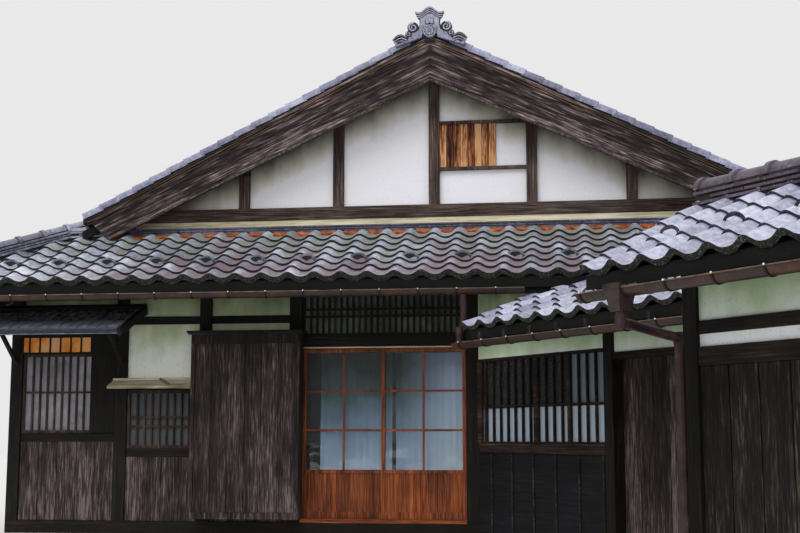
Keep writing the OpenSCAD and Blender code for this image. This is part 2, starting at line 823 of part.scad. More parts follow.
// Rolls of the skirt, from the eave to the wall tiles or to the hip ridge
module skirt_rolls() {
    fall = atan(skirt_slope);
    for (i = [0:roof_columns - 1]) {
        x = tile_w * (i + roll_share) - hw - overhang;
        beside_hip = (hw + overhang - abs(x) - roll_w / 2) * (gable_in + overhang) / (hw + overhang - hip_x) - hip_ridge_w;
        under_verge = under_roof(abs(x) + roll_w / 2) < front_top(gable_in) + roll_h + roof_t / 2;
        top_y = min(beside_hip - overhang, (under_verge ? verge_y : gable_in - noshi_reach) - roll_clear);
        if (top_y > roll_end - overhang) translate([0, -overhang, eave_z]) rotate([fall, 0, 0])
            rotate([90, 0, 0]) translate([0, 0, -(top_y + overhang) / cos(fall)])
                linear_extrude((top_y + overhang) / cos(fall) - roll_in) roll_section(x);
    }
}

// Roll of a side slope between two distances from the ridge
module side_roll(y, x0, x1) {
    fall = atan(side_slope);
    translate([0, 0, side_top(0)]) rotate([0, fall, 0]) along_x(x0 / cos(fall), x1 / cos(fall)) roll_section(y);
}

// Rolls of a side slope, from the eave to the ridge or to the hip ridge
module side_rolls() {
    eave = hw + overhang - roll_in;
    ridge = ridge_w / 2 + roll_clear;
    for (i = [0:roof_columns - 1]) {
        y = tile_w * (i + roll_share) - overhang;
        inside = min(y, house_d - y) - roll_w / 2;
        beside_hip = hw + overhang + hip_ridge_w - (inside + overhang) * (hw + overhang - hip_x) / (gable_in + overhang);
        if (inside > gable_in + joint) side_roll(y, ridge, eave);
        else if (beside_hip < eave - roll_end) side_roll(y, beside_hip, eave);
        if (inside > verge_y + verge_w + joint && inside <= gable_in + joint) side_roll(y, ridge, hip_x - roll_end);
    }
}

module skirt_slope_solid() {
    y0 = -overhang;
    skirt_rolls();
    intersection() {
        along_x(-far, far) polygon([[y0, front_top(y0)], [gable_in, front_top(gable_in)],
            [gable_in, front_top(gable_in) - roof_t], [y0, front_top(y0) - roof_t]]);
        linear_extrude(far) polygon([[seat - hw - overhang, y0], [hw + overhang - seat, y0],
            [hip_x - seat, gable_in], [seat - hip_x, gable_in]]);
    }
}

module front_roof() {
    color("#54575e") skirt_slope_solid();
}

module back_roof() {
    color("#54575e") translate([0, house_d, 0]) rotate([0, 0, 180]) skirt_slope_solid();
}

// Side slope, from the eave to the ridge, with the gable overhang at both ends
module side_slope_solid() {
    x1 = hw + overhang;
    foot_y = gable_in - (verge_run - hip_x) * side_slope / skirt_slope;
    side_rolls();
    difference() {
        intersection() {
            along_y(-far, far) polygon([[0, side_top(0)], [x1, side_top(x1)], [x1, side_top(x1) - roof_t],
                [0, side_top(0) - roof_t]]);
            linear_extrude(far) polygon([[0, verge_y + barge_t], [verge_run, verge_y + barge_t], [verge_run, foot_y],
                [x1, -overhang], [x1, house_d + overhang], [verge_run, house_d - foot_y],
                [verge_run, house_d - verge_y - barge_t], [0, house_d - verge_y - barge_t]]);
        }
        both_ends() along_x(-far, verge_run + joint) polygon([[-overhang, 0], [-overhang, front_top(-overhang) + joint],
            [gable_in, front_top(gable_in) + joint], [gable_in, 0]]);
    }
}

module left_roof() {
    color("#54575e") translate([0, house_d, 0]) rotate([0, 0, 180]) side_slope_solid();
}

module right_roof() {
    color("#54575e") side_slope_solid();
}

function under_roof(x) = side_top(x) - roof_t;

// Tie beams under the gables, and the ridge beam and purlins that carry the roof
module roof_beams() {
    x_end = hw - post_w - 20;
    color("#3a2f28") {
        both_ends() along_y(gable_in, gable_in + gable_t) polygon([[-x_end, plate_top], [x_end, plate_top],
            [x_end, min(tie_top, under_roof(x_end))], [(side_top(0) - roof_t - tie_top) / side_slope, tie_top],
            [-(side_top(0) - roof_t - tie_top) / side_slope, tie_top], [-x_end, min(tie_top, under_roof(x_end))]]);
        for (i = [-2:2]) along_y(verge_y + barge_t, house_d - verge_y - barge_t) purlin_outline(i * strut_pitch);
    }
}

module purlin_outline(x) {
    low = under_roof(abs(x) + strut_w / 2) - purlin_h;
    intersection() {
        translate([x - strut_w / 2, low]) square([strut_w, far]);
        polygon([[-far, 0], [far, 0], [far, under_roof(far)], [0, under_roof(0)], [-far, under_roof(far)]]);
    }
}

function strut_top(i) = under_roof(abs(i * strut_pitch) + strut_w / 2) - purlin_h;
beam_half = (side_top(0) - roof_t - gable_beam_z - gable_beam_h) / side_slope;

module gable_frame(with_shutter) {
    beam_top = gable_beam_z + gable_beam_h;
    along_y(gable_in - 20, gable_in + gable_t) {
        polygon([[-beam_half, gable_beam_z], [beam_half, gable_beam_z], [beam_half, beam_top], [-beam_half, beam_top]]);
        for (i = [-2:2]) translate([i * strut_pitch - strut_w / 2, gable_beam_z])
            square([strut_w, strut_top(i) - gable_beam_z]);
        if (with_shutter) for (z = [gable_shutter_z - gable_rail_h, gable_shutter_z + gable_shutter_h])
            translate([0, z]) square([strut_pitch, gable_rail_h]);
    }
}

module gable_frames() {
    color("#33281f") {
        gable_frame(true);
        translate([0, house_d, 0]) mirror([0, 1, 0]) gable_frame(false);
    }
}

// Plaster between the struts, from the base beam up to the roof boards
module gable_plaster_flat(with_shutter) {
    beam_top = gable_beam_z + gable_beam_h;
    difference() {
        polygon([[-beam_half, beam_top], [beam_half, beam_top], [0, under_roof(0)]]);
        for (i = [-2:2]) translate([i * strut_pitch - strut_w / 2, 0]) square([strut_w, far]);
        if (with_shutter) {
            for (z = [gable_shutter_z - gable_rail_h, gable_shutter_z + gable_shutter_h])
                translate([0, z]) square([strut_pitch, gable_rail_h]);
            translate([0, gable_shutter_z]) square([strut_w / 2 + gable_shutter_w, gable_shutter_h]);
        }
    }
}

module gable_plaster() {
    color("#e4e5de") {
        along_y(gable_in + plaster_in, gable_in + plaster_in + plaster_t) gable_plaster_flat(true);
        translate([0, house_d, 0]) mirror([0, 1, 0])
            along_y(gable_in + plaster_in, gable_in + plaster_in + plaster_t) gable_plaster_flat(false);
    }
}

module gable_shutter() {
    color("#9a6434") box(strut_w / 2, strut_w / 2 + gable_shutter_w, gable_in, gable_in + plaster_in + plaster_t,
        gable_shutter_z, gable_shutter_z + gable_shutter_h);
}

// One bargeboard, from the joint at the ridge to the square-cut foot
module bargeboard() {
    foot = verge_run - 70;
    cut = verge_run - 330;
    ridge_half = ridge_w / 2 + joint;
    along_y(verge_y, verge_y + barge_t) polygon([[joint / 2, side_top(joint / 2)], [ridge_half, side_top(ridge_half)],
        [ridge_half, barge_top(ridge_half)], [foot, barge_top(foot)], [cut, barge_low(cut)],
        [joint / 2, barge_low(joint / 2)]]);
    for (step = [1, 2]) along_y(verge_y - step * moulding_out, verge_y + barge_t / 2)
        polygon([[moulding_x, barge_top(moulding_x) - boss_seat], [foot, barge_top(foot) - boss_seat],
            [foot, barge_top(foot) - moulding_h / step], [moulding_x, barge_top(moulding_x) - moulding_h / step]]);
}

module bargeboards() {
    color("#3b2c2a") both_ends() both_sides() bargeboard();
}

module verge_half() {
    x0 = ridge_w / 2 + joint;
    along_y(verge_y, verge_y + barge_t) polygon([[x0, verge_top(x0)], [verge_run, verge_top(verge_run)],
        [verge_run, barge_top(verge_run)], [x0, barge_top(x0)]]);
    along_y(verge_y + barge_t, verge_y + verge_w) polygon([[x0, verge_top(x0)], [verge_run, verge_top(verge_run)],
        [verge_run, side_top(verge_run)], [x0, side_top(x0)]]);
}

module verge_tiles() {
    color("#4b4d54") both_ends() both_sides() verge_half();
}

// Layered ridge with a round cap, seated astride two slopes
module ridge_outline(w, fall, layers) {
    for (i = [0:layers - 1]) {
        half = w / 2 - (i % 2) * ridge_groove - i * ridge_taper;
        translate([-half, i * ridge_layer_h]) square([2 * half, ridge_layer_h]);
    }
    polygon([[-w / 2, -fall * w / 2], [0, 0], [w / 2, -fall * w / 2], [w / 2, ridge_layer_h], [-w / 2, ridge_layer_h]]);
    translate([0, layers * ridge_layer_h]) intersection() {
        circle(cap_r);
        translate([-cap_r, -1]) square([2 * cap_r, cap_r + 1]);
    }
}

module main_ridge() {
    color("#54575e") along_y(verge_y, house_d - verge_y) translate([0, side_top(0)]) ridge_outline(ridge_w, side_slope, 5);
}

// Scrolled ridge-end tile, in hundredths of its width: a boss, a body under a curled cap, and scrolls on a raking base
module ornament_outline() {
    k = ornament_w / 86;
    over = [for (i = [-8:8]) let (x = 1.98 * i) [x, 24.4 + 3.3 * cos(15 * x)] * k];
    under = [for (i = [6:-1:-6]) let (x = 2.2 * i) [x, 18 + 3.2 * cos(15 * x)] * k];
    polygon(concat(over, under));
    polygon([[-11.9, 17.8], [-6, 20.5], [6, 20.5], [11.9, 17.8], [10.6, 11], [12.6, 1.6], [12.6, -3],
        [-12.6, -3], [-12.6, 1.6], [-10.6, 11]] * k);
    circle(boss_r);
    for (side = [-1, 1]) {
        translate([side * 17.3, 4.5] * k) circle(6 * k);
        translate([side * 21.8, -2.2] * k) circle(3.8 * k);
        translate([side * 33.6, -5.8] * k) circle(4.8 * k);
        polygon([[side * 8, 4] * k, [side * 17, 0.4] * k, [side * 30, -4.6] * k, [side * 41, -8.2] * k,
            [side * 37.5, -12.6] * k, [side * 9, -3] * k]);
    }
}

module ridge_ornaments() {
    color("#4b4d54") both_ends() along_y(verge_y - ornament_t, verge_y)
        translate([0, side_top(0) + boss_up]) ornament_outline();
}

// Ridge along a hip, sitting over both slopes
module hip_ridge() {
    run = sqrt(pow(hw + overhang - hip_x, 2) + pow(gable_in + overhang, 2));
    turn = atan2(gable_in + overhang, hip_x - hw - overhang);
    rise = front_top(gable_in) - eave_z;
    len = run * hip_ridge_part;
    difference() {
        translate([hw + overhang, -overhang, eave_z]) rotate([0, 0, turn]) {
            rotate([90, 0, 0]) translate([0, 0, -hip_ridge_w / 2]) linear_extrude(hip_ridge_w)
                polygon([[hip_tail, -hip_bed], [len, rise * hip_ridge_part - hip_bed],
                    [len, rise * hip_ridge_part + hip_ridge_h], [hip_tail, rise * hip_tail / run + hip_ridge_h]]);
            translate([hip_tail, 0, rise * hip_tail / run + hip_ridge_h]) rotate([0, 90 - atan(rise / run), 0])
                cylinder(h = (len - hip_tail) / cos(atan(rise / run)) - hip_cap_in, r = cap_r * 0.8);
        }
        intersection() {
            along_x(0, far) polygon([[-overhang - 500, front_top(-overhang - 500)], [far, front_top(far)], [far, 0],
                [-overhang - 500, 0]]);
            along_y(-far, far) polygon([[0, side_top(0)], [hw + overhang + 500, side_top(hw + overhang + 500)],
                [hw + overhang + 500, 0], [0, 0]]);
        }
    }
}

module hip_ridges() {
    color("#54575e") both_ends() both_sides() hip_ridge();
}

module wall_tiles() {
    y0 = gable_in - noshi_reach;
    half = (under_roof(0) - front_top(gable_in) - noshi_h) / side_slope - joint;
    color("#4b4d54") both_ends() along_x(-half, half) polygon([[y0, front_top(y0)], [gable_in, front_top(gable_in)],
        [gable_in, front_top(gable_in) + noshi_h - noshi_lean], [y0, front_top(y0) + noshi_h + noshi_lean]]);
}

// Half-round channel along X with closed ends, its rim at z = 0
module gutter(length) {
    along_x(0, length) difference() {
        circle(gutter_r);
        circle(gutter_r - gutter_t);
        translate([-gutter_r - 1, 0]) square([2 * gutter_r + 2, gutter_r + 1]);
    }
    for (x = [0, length - gutter_t]) along_x(x, x + gutter_t) difference() {
        circle(gutter_r);
        translate([-gutter_r - 1, 0]) square([2 * gutter_r + 2, gutter_r + 1]);
    }
}

// Strap under the gutter with an arm back to the eave board or the rafter end
module gutter_bracket(arm) {
    along_x(-bracket_w / 2, bracket_w / 2) {
        difference() {
            circle(gutter_r + seat + strap_t);
            circle(gutter_r + seat);
            translate([-far / 2, 2]) square([far, far]);
        }
        translate([gutter_r + seat, -arm_t / 2]) square([arm, arm_t]);
    }
}

main_gutter_y = -overhang - gutter_out;
wing_gutter_y = -wing_overhang - gutter_out;
annex_gutter_y = -annex_d - annex_overhang - gutter_out;
main_gutter_z = eave_z - gutter_drop;
wing_gutter_z = wing_eave_z - gutter_drop;
annex_gutter_z = annex_eave_z - gutter_drop;
hopper_s = annex_start + hopper_past;

module gutters() {
    color("#6b4634") {
        translate([-hw - overhang, main_gutter_y, main_gutter_z]) gutter(gutter_end + hw + overhang);
        at_wing() translate([wing_verge - 60, wing_gutter_y, wing_gutter_z]) gutter(annex_start - wing_verge);
        at_wing() translate([annex_left + 20, annex_gutter_y, annex_gutter_z]) gutter(roof_end - annex_left);
    }
}

module gutter_brackets() {
    arm = gutter_out + eave_board_in - gutter_r - seat;
    wing_arm = arm + eave_board_t;
    color("#3c302b") {
        for (x = [-hw - rafter_pitch:rafter_pitch:gutter_end - 100])
            translate([x, main_gutter_y, main_gutter_z]) gutter_bracket(arm);
        at_wing() for (s = [wing_verge + 60:rafter_pitch:annex_left - 60])
            translate([s, wing_gutter_y, wing_gutter_z]) gutter_bracket(wing_arm);
        at_wing() for (s = [annex_left + 60:rafter_pitch:roof_end - 60])
            if (abs(s - hopper_s) > hopper_w / 2 + bracket_w) translate([s, annex_gutter_y, annex_gutter_z]) gutter_bracket(wing_arm);
    }
}

// Round pipe through a list of points, with a collar at each bend
module pipe(points, r) {
    for (i = [0:len(points) - 2]) {
        step = points[i + 1] - points[i];
        flat = sqrt(step[0] * step[0] + step[1] * step[1]);
        translate(points[i]) rotate([0, atan2(flat, step[2]), atan2(step[1], step[0])]) cylinder(h = norm(step), r = r, $fn = 12);
    }
    for (i = [1:len(points) - 2]) translate(points[i])
        cylinder(h = 2.4 * r, r = r + pipe_collar, center = true, $fn = 12);
}

function from_wing(s, y, z) = [wing_x0 + cos_w * s + sin_w * y, cos_w * y - sin_w * s, z];

// Side of the hopper: a rim over a body that narrows to the spout
module hopper_outline() {
    body = hopper_w / 2 - hopper_rim;
    under = hopper_rise - hopper_rim_h;
    polygon([[-hopper_w / 2, hopper_rise], [hopper_w / 2, hopper_rise], [hopper_w / 2, under], [body, under],
        [hopper_foot / 2, hopper_rise - hopper_h], [-hopper_foot / 2, hopper_rise - hopper_h], [-body, under],
        [-hopper_w / 2, under]]);
}

// Open hopper round the annex gutter, notched where the gutter passes
module hopper() {
    translate([hopper_s, annex_gutter_y, annex_gutter_z]) difference() {
        intersection() {
            along_x(-hopper_w / 2, hopper_w / 2) hopper_outline();
            along_y(-hopper_w / 2, hopper_w / 2) hopper_outline();
        }
        along_x(-hopper_w, hopper_w) {
            circle(gutter_r + seat);
            translate([-gutter_r - seat, 0]) square([2 * (gutter_r + seat), hopper_h]);
        }
    }
}

module downpipes() {
    hopper_z = annex_gutter_z + hopper_rise - hopper_h;
    pipe_s = annex_start + wing_post_w / 2;
    pipe_y = -annex_d - pipe_r - 60;
    wing_end = from_wing(wing_verge, wing_gutter_y, 0);
    color("#6b4634") {
        pipe([[wing_end[0], main_gutter_y, main_gutter_z - gutter_r - seat],
            [wing_end[0], main_gutter_y, wing_gutter_z + 180],
            [wing_end[0], wing_end[1], wing_gutter_z + 110],
            [wing_end[0], wing_end[1], wing_gutter_z + 5]], pipe_r);
        at_wing() hopper();
        pipe([from_wing(hopper_s, annex_gutter_y, hopper_z),
            from_wing(hopper_s, annex_gutter_y, hopper_z - 60),
            from_wing(pipe_s, pipe_y, hopper_z - 130),
            from_wing(pipe_s, pipe_y, 0)], pipe_r);
    }
}

module wing_post(s, y, top) {
    box(s, s + wing_post_w, y, y + wing_post_w, wing_sill_top, top);
}

wing_plate_top = wing_plate_z + wing_plate_h;

// Sill beams of the wing and the annex
module wing_sills() {
    p = wing_post_w;
    color("#33281f") before_house() at_wing() {
        box(-far, wing_l, 0, p, wing_footing_h, wing_sill_top);
        box(-far, wing_l, wing_d - p, wing_d, wing_footing_h, wing_sill_top);
        box(wing_l - p, wing_l, p + joint, wing_d - p - joint, wing_footing_h, wing_sill_top);
        box(annex_start, annex_start + p, -annex_d, -joint, wing_footing_h, wing_sill_top);
        box(annex_start + p + joint, wing_l, -annex_d, p - annex_d, wing_footing_h, wing_sill_top);
        box(wing_l - p, wing_l, p + joint - annex_d, -joint, wing_footing_h, wing_sill_top);
    }
}

module wing_posts() {
    p = wing_post_w;
    color("#33281f") at_wing() {
        for (s = [wing_window_bay, wing_door_end, annex_start]) wing_post(s, 0, wing_plate_z);
        for (s = [wing_window_bay, annex_start, wing_l - p]) wing_post(s, wing_d - p, wing_plate_z);
        for (s = [annex_start, wing_l - p]) wing_post(s, -annex_d, annex_plate_z);
    }
}

// Plates and the rails over and under the openings
module wing_plates() {
    p = wing_post_w;
    door_top = wing_sill_top + wing_door_h;
    color("#33281f") before_house() at_wing() {
        box(-far, wing_l - plaster_out, 0, p, wing_plate_z, wing_plate_top);
        box(-far, wing_l, wing_d - p, wing_d, wing_plate_z, wing_plate_top);
        box(annex_start, wing_l, -annex_d, p - annex_d, annex_plate_z, annex_plate_top);
        box(wing_post_s, wing_door_end, 10, p, door_top, door_top + wing_rail_h);
        box(annex_start + p, wing_l - p, 10 - annex_d, p - annex_d, annex_boards_z, annex_boards_z + annex_lintel_h);
        box(annex_start + p, wing_l - p, 10 - annex_d, p - annex_d, annex_beam_z, annex_beam_z + annex_beam_h);
        for (z = [rear_window_z - wing_rail_h, rear_window_z + rear_window_h])
            box(wing_post_s, annex_start, wing_d - p, wing_d - 10, z, z + wing_rail_h);
    }
}

module wing_plaster() {
    p = wing_post_w;
    y0 = plaster_in;
    y1 = plaster_in + plaster_t;
    color("#cfd8c8") before_house() at_wing() {
        box(-far, wing_window_bay, y0, y1, wing_window_z + wing_window_h, wing_plate_z);
        box(wing_post_s, wing_door_end, y0, y1, wing_sill_top + wing_door_h + wing_rail_h, wing_plate_z);
        box(wing_door_end + p, annex_start, y0, y1, wing_window_z, wing_plate_z);
        box(-far, wing_window_bay, wing_d - y1, wing_d - y0, wing_sill_top, wing_plate_z);
        box(wing_post_s, annex_start, wing_d - y1, wing_d - y0, wing_sill_top, rear_window_z - wing_rail_h);
        box(wing_post_s, annex_start, wing_d - y1, wing_d - y0, rear_window_z + rear_window_h + wing_rail_h,
            wing_plate_z);
        box(annex_start + p, wing_l - p, wing_d - y1, wing_d - y0, wing_sill_top, wing_plate_z);
        box(annex_start + p, wing_l - p, y0 - annex_d, y1 - annex_d, annex_beam_z + annex_beam_h, annex_plate_z);
        box(annex_start + p, wing_l - p, y0 - annex_d, y1 - annex_d, annex_boards_z + annex_lintel_h, annex_beam_z);
    }
}

module wing_boards() {
    p = wing_post_w;
    color("#40342c") before_house() at_wing() {
        box(-far, wing_window_bay, plaster_in, plaster_in + board_t, wing_sill_top, wing_window_z);
        box(wing_door_end + p, annex_start, plaster_in, plaster_in + board_t, wing_sill_top, wing_window_z);
        box(annex_start + p, wing_l - p, plaster_in - annex_d, plaster_in - annex_d + board_t,
            wing_sill_top, annex_boards_z);
    }
}

// End walls under the slopes, and the boards that close the wing under the main eave
module wing_walls() {
    p = wing_post_w;
    color("#cfd8c8") at_wing() {
        for (s = [annex_start + plaster_in, wing_l - plaster_out]) along_x(s, s + plaster_t)
            polygon([[p - annex_d, wing_sill_top], [p - annex_d, annex_top(p - annex_d) - wing_roof_t],
                [annex_ridge_y, annex_ridge_z - wing_roof_t], [valley_y - joint, annex_top(valley_y - joint) - wing_roof_t],
                [valley_y - joint, wing_sill_top]]);
        along_x(annex_start + plaster_in, annex_start + plaster_out)
            polygon([[valley_y, wing_sill_top], [valley_y, wing_top(valley_y) - wing_roof_t],
                [0, wing_top(0) - wing_roof_t], [0, wing_sill_top]]);
        along_x(wing_l - plaster_out, wing_l - plaster_in)
            polygon([[valley_y, wing_sill_top], [valley_y, wing_top(valley_y) - wing_roof_t],
                [wing_ridge_y, wing_top(wing_ridge_y) - wing_roof_t],
                [wing_d - p, wing_top(wing_d - p) - wing_roof_t], [wing_d - p, wing_sill_top]]);
    }
    color("#40342c") before_house() at_wing() along_y(plaster_in, plaster_in + board_t)
        polygon([[0, wing_plate_top], [wing_verge - 5, wing_plate_top], [wing_verge - 5, soffit_over_wing(wing_verge - 5)],
            [0, soffit_over_wing(0)]]);
}

function soffit_over_wing(s) = plate_top - skirt_slope * sin_w * s - 5;

module wing_lattices() {
    color("#33281f") {
        before_house() at_wing() upright(0, plaster_in, wing_window_z)
            lattice(wing_window_bay, wing_window_h, wing_pitch, wing_bar_w, [wing_rail_up]);
        at_wing() upright(wing_post_s, wing_d - plaster_in - lattice_t, rear_window_z)
            lattice(annex_start - wing_post_s, rear_window_h, wing_pitch * 2, wing_bar_w, []);
    }
}

module wing_glass() {
    color("#a8b4b4") before_house() at_wing() {
        box(-far, wing_window_bay, glass_in, glass_in + glass_t, wing_window_z, wing_window_z + wing_window_h);
        box(wing_post_s, annex_start, wing_d - glass_in - glass_t, wing_d - glass_in, rear_window_z,
            rear_window_z + rear_window_h);
    }
}

module wing_door() {
    color("#5a4c46") at_wing() box(wing_post_s - wing_door_lap, wing_door_end + wing_door_lap,
        wing_post_w + leaf_clear, wing_post_w + leaf_clear + wing_door_t,
        wing_sill_top + seat, wing_sill_top + wing_door_h + wing_door_lap);
}

module wing_floor() {
    z0 = wing_footing_h + 40;
    color("#7d7468") before_house() at_wing() {
        box(-far, wing_l - wing_post_w, wing_post_w, wing_d - wing_post_w, z0, wing_sill_top);
        box(annex_start + wing_post_w, wing_l - wing_post_w, wing_post_w - annex_d, 0, z0, wing_sill_top);
    }
}

// Slab of a wing or annex roof between two lines, given by the height of its surface
module roof_slab(y0, z0, y1, z1) {
    along_x(-far, far) polygon([[y0, z0], [y1, z1], [y1, z1 - wing_roof_t], [y0, z0 - wing_roof_t]]);
}

module wing_roof() {
    back = wing_d + wing_overhang;
    color("#54575e") at_wing() {
        intersection() {
            roof_slab(-wing_overhang, wing_eave_z, wing_ridge_y, wing_top(wing_ridge_y));
            linear_extrude(far) polygon([[wing_verge, -wing_overhang], [annex_left - joint, -wing_overhang],
                [annex_left - joint, wing_ridge_y - joint], [beside_eave(wing_ridge_y), wing_ridge_y - joint],
                [beside_eave(low_clear_y), low_clear_y], [wing_verge, low_clear_y]]);
        }
        intersection() {
            roof_slab(-wing_overhang, wing_eave_z, wing_ridge_y, wing_top(wing_ridge_y));
            linear_extrude(far) polygon([[annex_left, valley_y], [roof_end, valley_y],
                [roof_end, wing_ridge_y - joint], [annex_left, wing_ridge_y - joint]]);
        }
        intersection() {
            roof_slab(wing_ridge_y, wing_top(wing_ridge_y), back, wing_eave_z);
            linear_extrude(far) polygon([[beside_eave(wing_ridge_y), wing_ridge_y], [roof_end, wing_ridge_y],
                [roof_end, back], [beside_eave(back), back]]);
        }
    }
}

module annex_roof() {
    front = -annex_d - annex_overhang;
    color("#5c5f68") at_wing() {
        intersection() {
            roof_slab(front, annex_eave_z, annex_ridge_y, annex_ridge_z);
            box(annex_left, roof_end, front, annex_ridge_y - joint, 0, far);
        }
        intersection() {
            roof_slab(annex_ridge_y, annex_ridge_z, valley_y, annex_top(valley_y));
            box(annex_left, roof_end, annex_ridge_y, valley_y - joint, 0, far);
        }
    }
}

module wing_ridges() {
    color("#4b4d54") at_wing() {
        translate([0, wing_ridge_y, wing_top(wing_ridge_y)]) along_x(beside_eave(wing_ridge_y) + 200, roof_end)
            ridge_outline(200, wing_slope, 3);
        translate([0, annex_ridge_y, annex_ridge_z]) along_x(annex_left, roof_end) ridge_outline(200, annex_slope, 3);
    }
}

foundation();
sill_beams();
main_floor();
front_posts();
side_posts();
back_posts();
wall_plates();
front_rails();
side_rails();
front_plaster();
side_plaster();
back_plaster();
front_boards();
side_boards();
side_lattices();
side_glass();
front_lattices();
front_glass();
window_hoods();
shutter_box();
door_frame();
left_leaf_frame();
left_leaf_glass();
right_leaf_frame();
right_leaf_glass();
transom_lattice();
transom_panel();
curtains();
rafters();
eave_boards();
front_roof();
back_roof();
left_roof();
right_roof();
roof_beams();
gable_frames();
gable_plaster();
gable_shutter();
bargeboards();
verge_tiles();
main_ridge();
ridge_ornaments();
hip_ridges();
wall_tiles();
gutters();
gutter_brackets();
downpipes();
wing_sills();
wing_posts();
wing_plates();
wing_plaster();
wing_boards();
wing_walls();
wing_lattices();
wing_glass();
wing_door();
wing_floor();
wing_roof();
annex_roof();
wing_ridges();
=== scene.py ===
import math
import random

import bmesh
import bpy
import numpy
from mathutils import Matrix, Vector


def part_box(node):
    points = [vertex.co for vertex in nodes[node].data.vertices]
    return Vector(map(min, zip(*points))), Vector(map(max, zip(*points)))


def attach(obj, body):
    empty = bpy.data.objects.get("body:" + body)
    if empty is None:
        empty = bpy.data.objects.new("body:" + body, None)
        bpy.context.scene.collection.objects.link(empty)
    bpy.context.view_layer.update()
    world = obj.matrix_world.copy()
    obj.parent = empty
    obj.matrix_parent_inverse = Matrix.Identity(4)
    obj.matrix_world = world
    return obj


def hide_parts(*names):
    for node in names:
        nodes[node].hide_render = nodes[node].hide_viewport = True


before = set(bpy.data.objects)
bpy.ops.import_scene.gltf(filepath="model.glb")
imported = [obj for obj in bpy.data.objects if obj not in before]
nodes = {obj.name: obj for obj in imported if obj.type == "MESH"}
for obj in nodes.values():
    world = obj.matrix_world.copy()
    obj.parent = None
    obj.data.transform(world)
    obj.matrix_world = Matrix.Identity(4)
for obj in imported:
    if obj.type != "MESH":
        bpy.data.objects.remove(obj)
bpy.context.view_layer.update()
scene = bpy.context.scene
draw = random.Random(7)
print("frame loaded with", len(nodes), "nodes")

# The camera stands where the photographer stood, and looks slightly up and to the left
view = {"place": (1.48, -12.90, 1.30), "lens": 56.25, "sensor": 36.0, "tilt": 97.8, "turn": 7.8}
camera = bpy.data.objects.new("camera", bpy.data.cameras.new("camera"))
camera.data.lens = view["lens"]
camera.data.sensor_width = view["sensor"]
camera.location = view["place"]
camera.rotation_euler = (math.radians(view["tilt"]), 0, math.radians(view["turn"]))
scene.collection.objects.link(camera)
scene.camera = camera


# sRGB hex to the linear values that a socket takes
def linear(hexColour):
    parts = [int(hexColour[i:i + 2], 16) / 255 for i in (1, 3, 5)]
    return [p / 12.92 if p <= 0.04045 else ((p + 0.055) / 1.055) ** 2.4 for p in parts] + [1.0]


# Sets a node's inputs to values, or links them to sockets. A node stands for its first active output.
def feed(tree, node, inputs):
    for socket, value in inputs.items():
        if isinstance(value, bpy.types.Node):
            value = next(output for output in value.outputs if output.enabled)
        if isinstance(value, bpy.types.NodeSocket):
            tree.links.new(value, node.inputs[socket])
        else:
            node.inputs[socket].default_value = value


# Adds one node with its inputs and settings; stops fills a colour ramp
def put(tree, kind, inputs=None, stops=None, **settings):
    node = tree.nodes.new("ShaderNode" + kind)
    for name, value in settings.items():
        setattr(node, name, value)
    feed(tree, node, inputs or {})
    if stops:
        ramp = node.color_ramp
        while len(ramp.elements) < len(stops):
            ramp.elements.new(0.5)
        for element, (place, colour) in zip(ramp.elements, stops):
            element.position = place
            element.color = linear(colour) if isinstance(colour, str) else [colour] * 3 + [1.0]
    return node


def newMaterial(name):
    material = bpy.data.materials.new(name)
    material.use_nodes = True
    tree = material.node_tree
    shader = tree.nodes["Principled BSDF"]
    place = put(tree, "TexCoord").outputs["Object"]
    return material, tree, shader, place


# Turns the coordinates so that Z runs along the given direction and stretches them that way
def alongGrain(tree, place, along, stretch):
    turn = Vector(along).to_track_quat("Z", "Y").to_euler()
    return put(tree, "Mapping", {"Vector": place, "Rotation": turn, "Scale": (1, 1, stretch)},
               vector_type="TEXTURE")


# The same coordinates with X counted outwards from the middle of the house
def mirrored(tree, place):
    apart = put(tree, "SeparateXYZ", {"Vector": place})
    side = put(tree, "Math", {0: apart.outputs["X"]}, operation="ABSOLUTE")
    return put(tree, "CombineXYZ", {"X": side, "Y": apart.outputs["Y"], "Z": apart.outputs["Z"]})


# Height above the ground, or above a line that falls by lean for each metre outwards
def heightOver(tree, place, lean):
    apart = put(tree, "SeparateXYZ", {"Vector": place})
    inputs = {0: apart.outputs["X"], 1: lean, 2: apart.outputs["Z"]}
    return put(tree, "Math", inputs, operation="MULTIPLY_ADD")


def bumped(tree, shader, height, strength, distance):
    bump = put(tree, "Bump", {"Height": height, "Strength": strength, "Distance": distance})
    feed(tree, shader, {"Normal": bump})


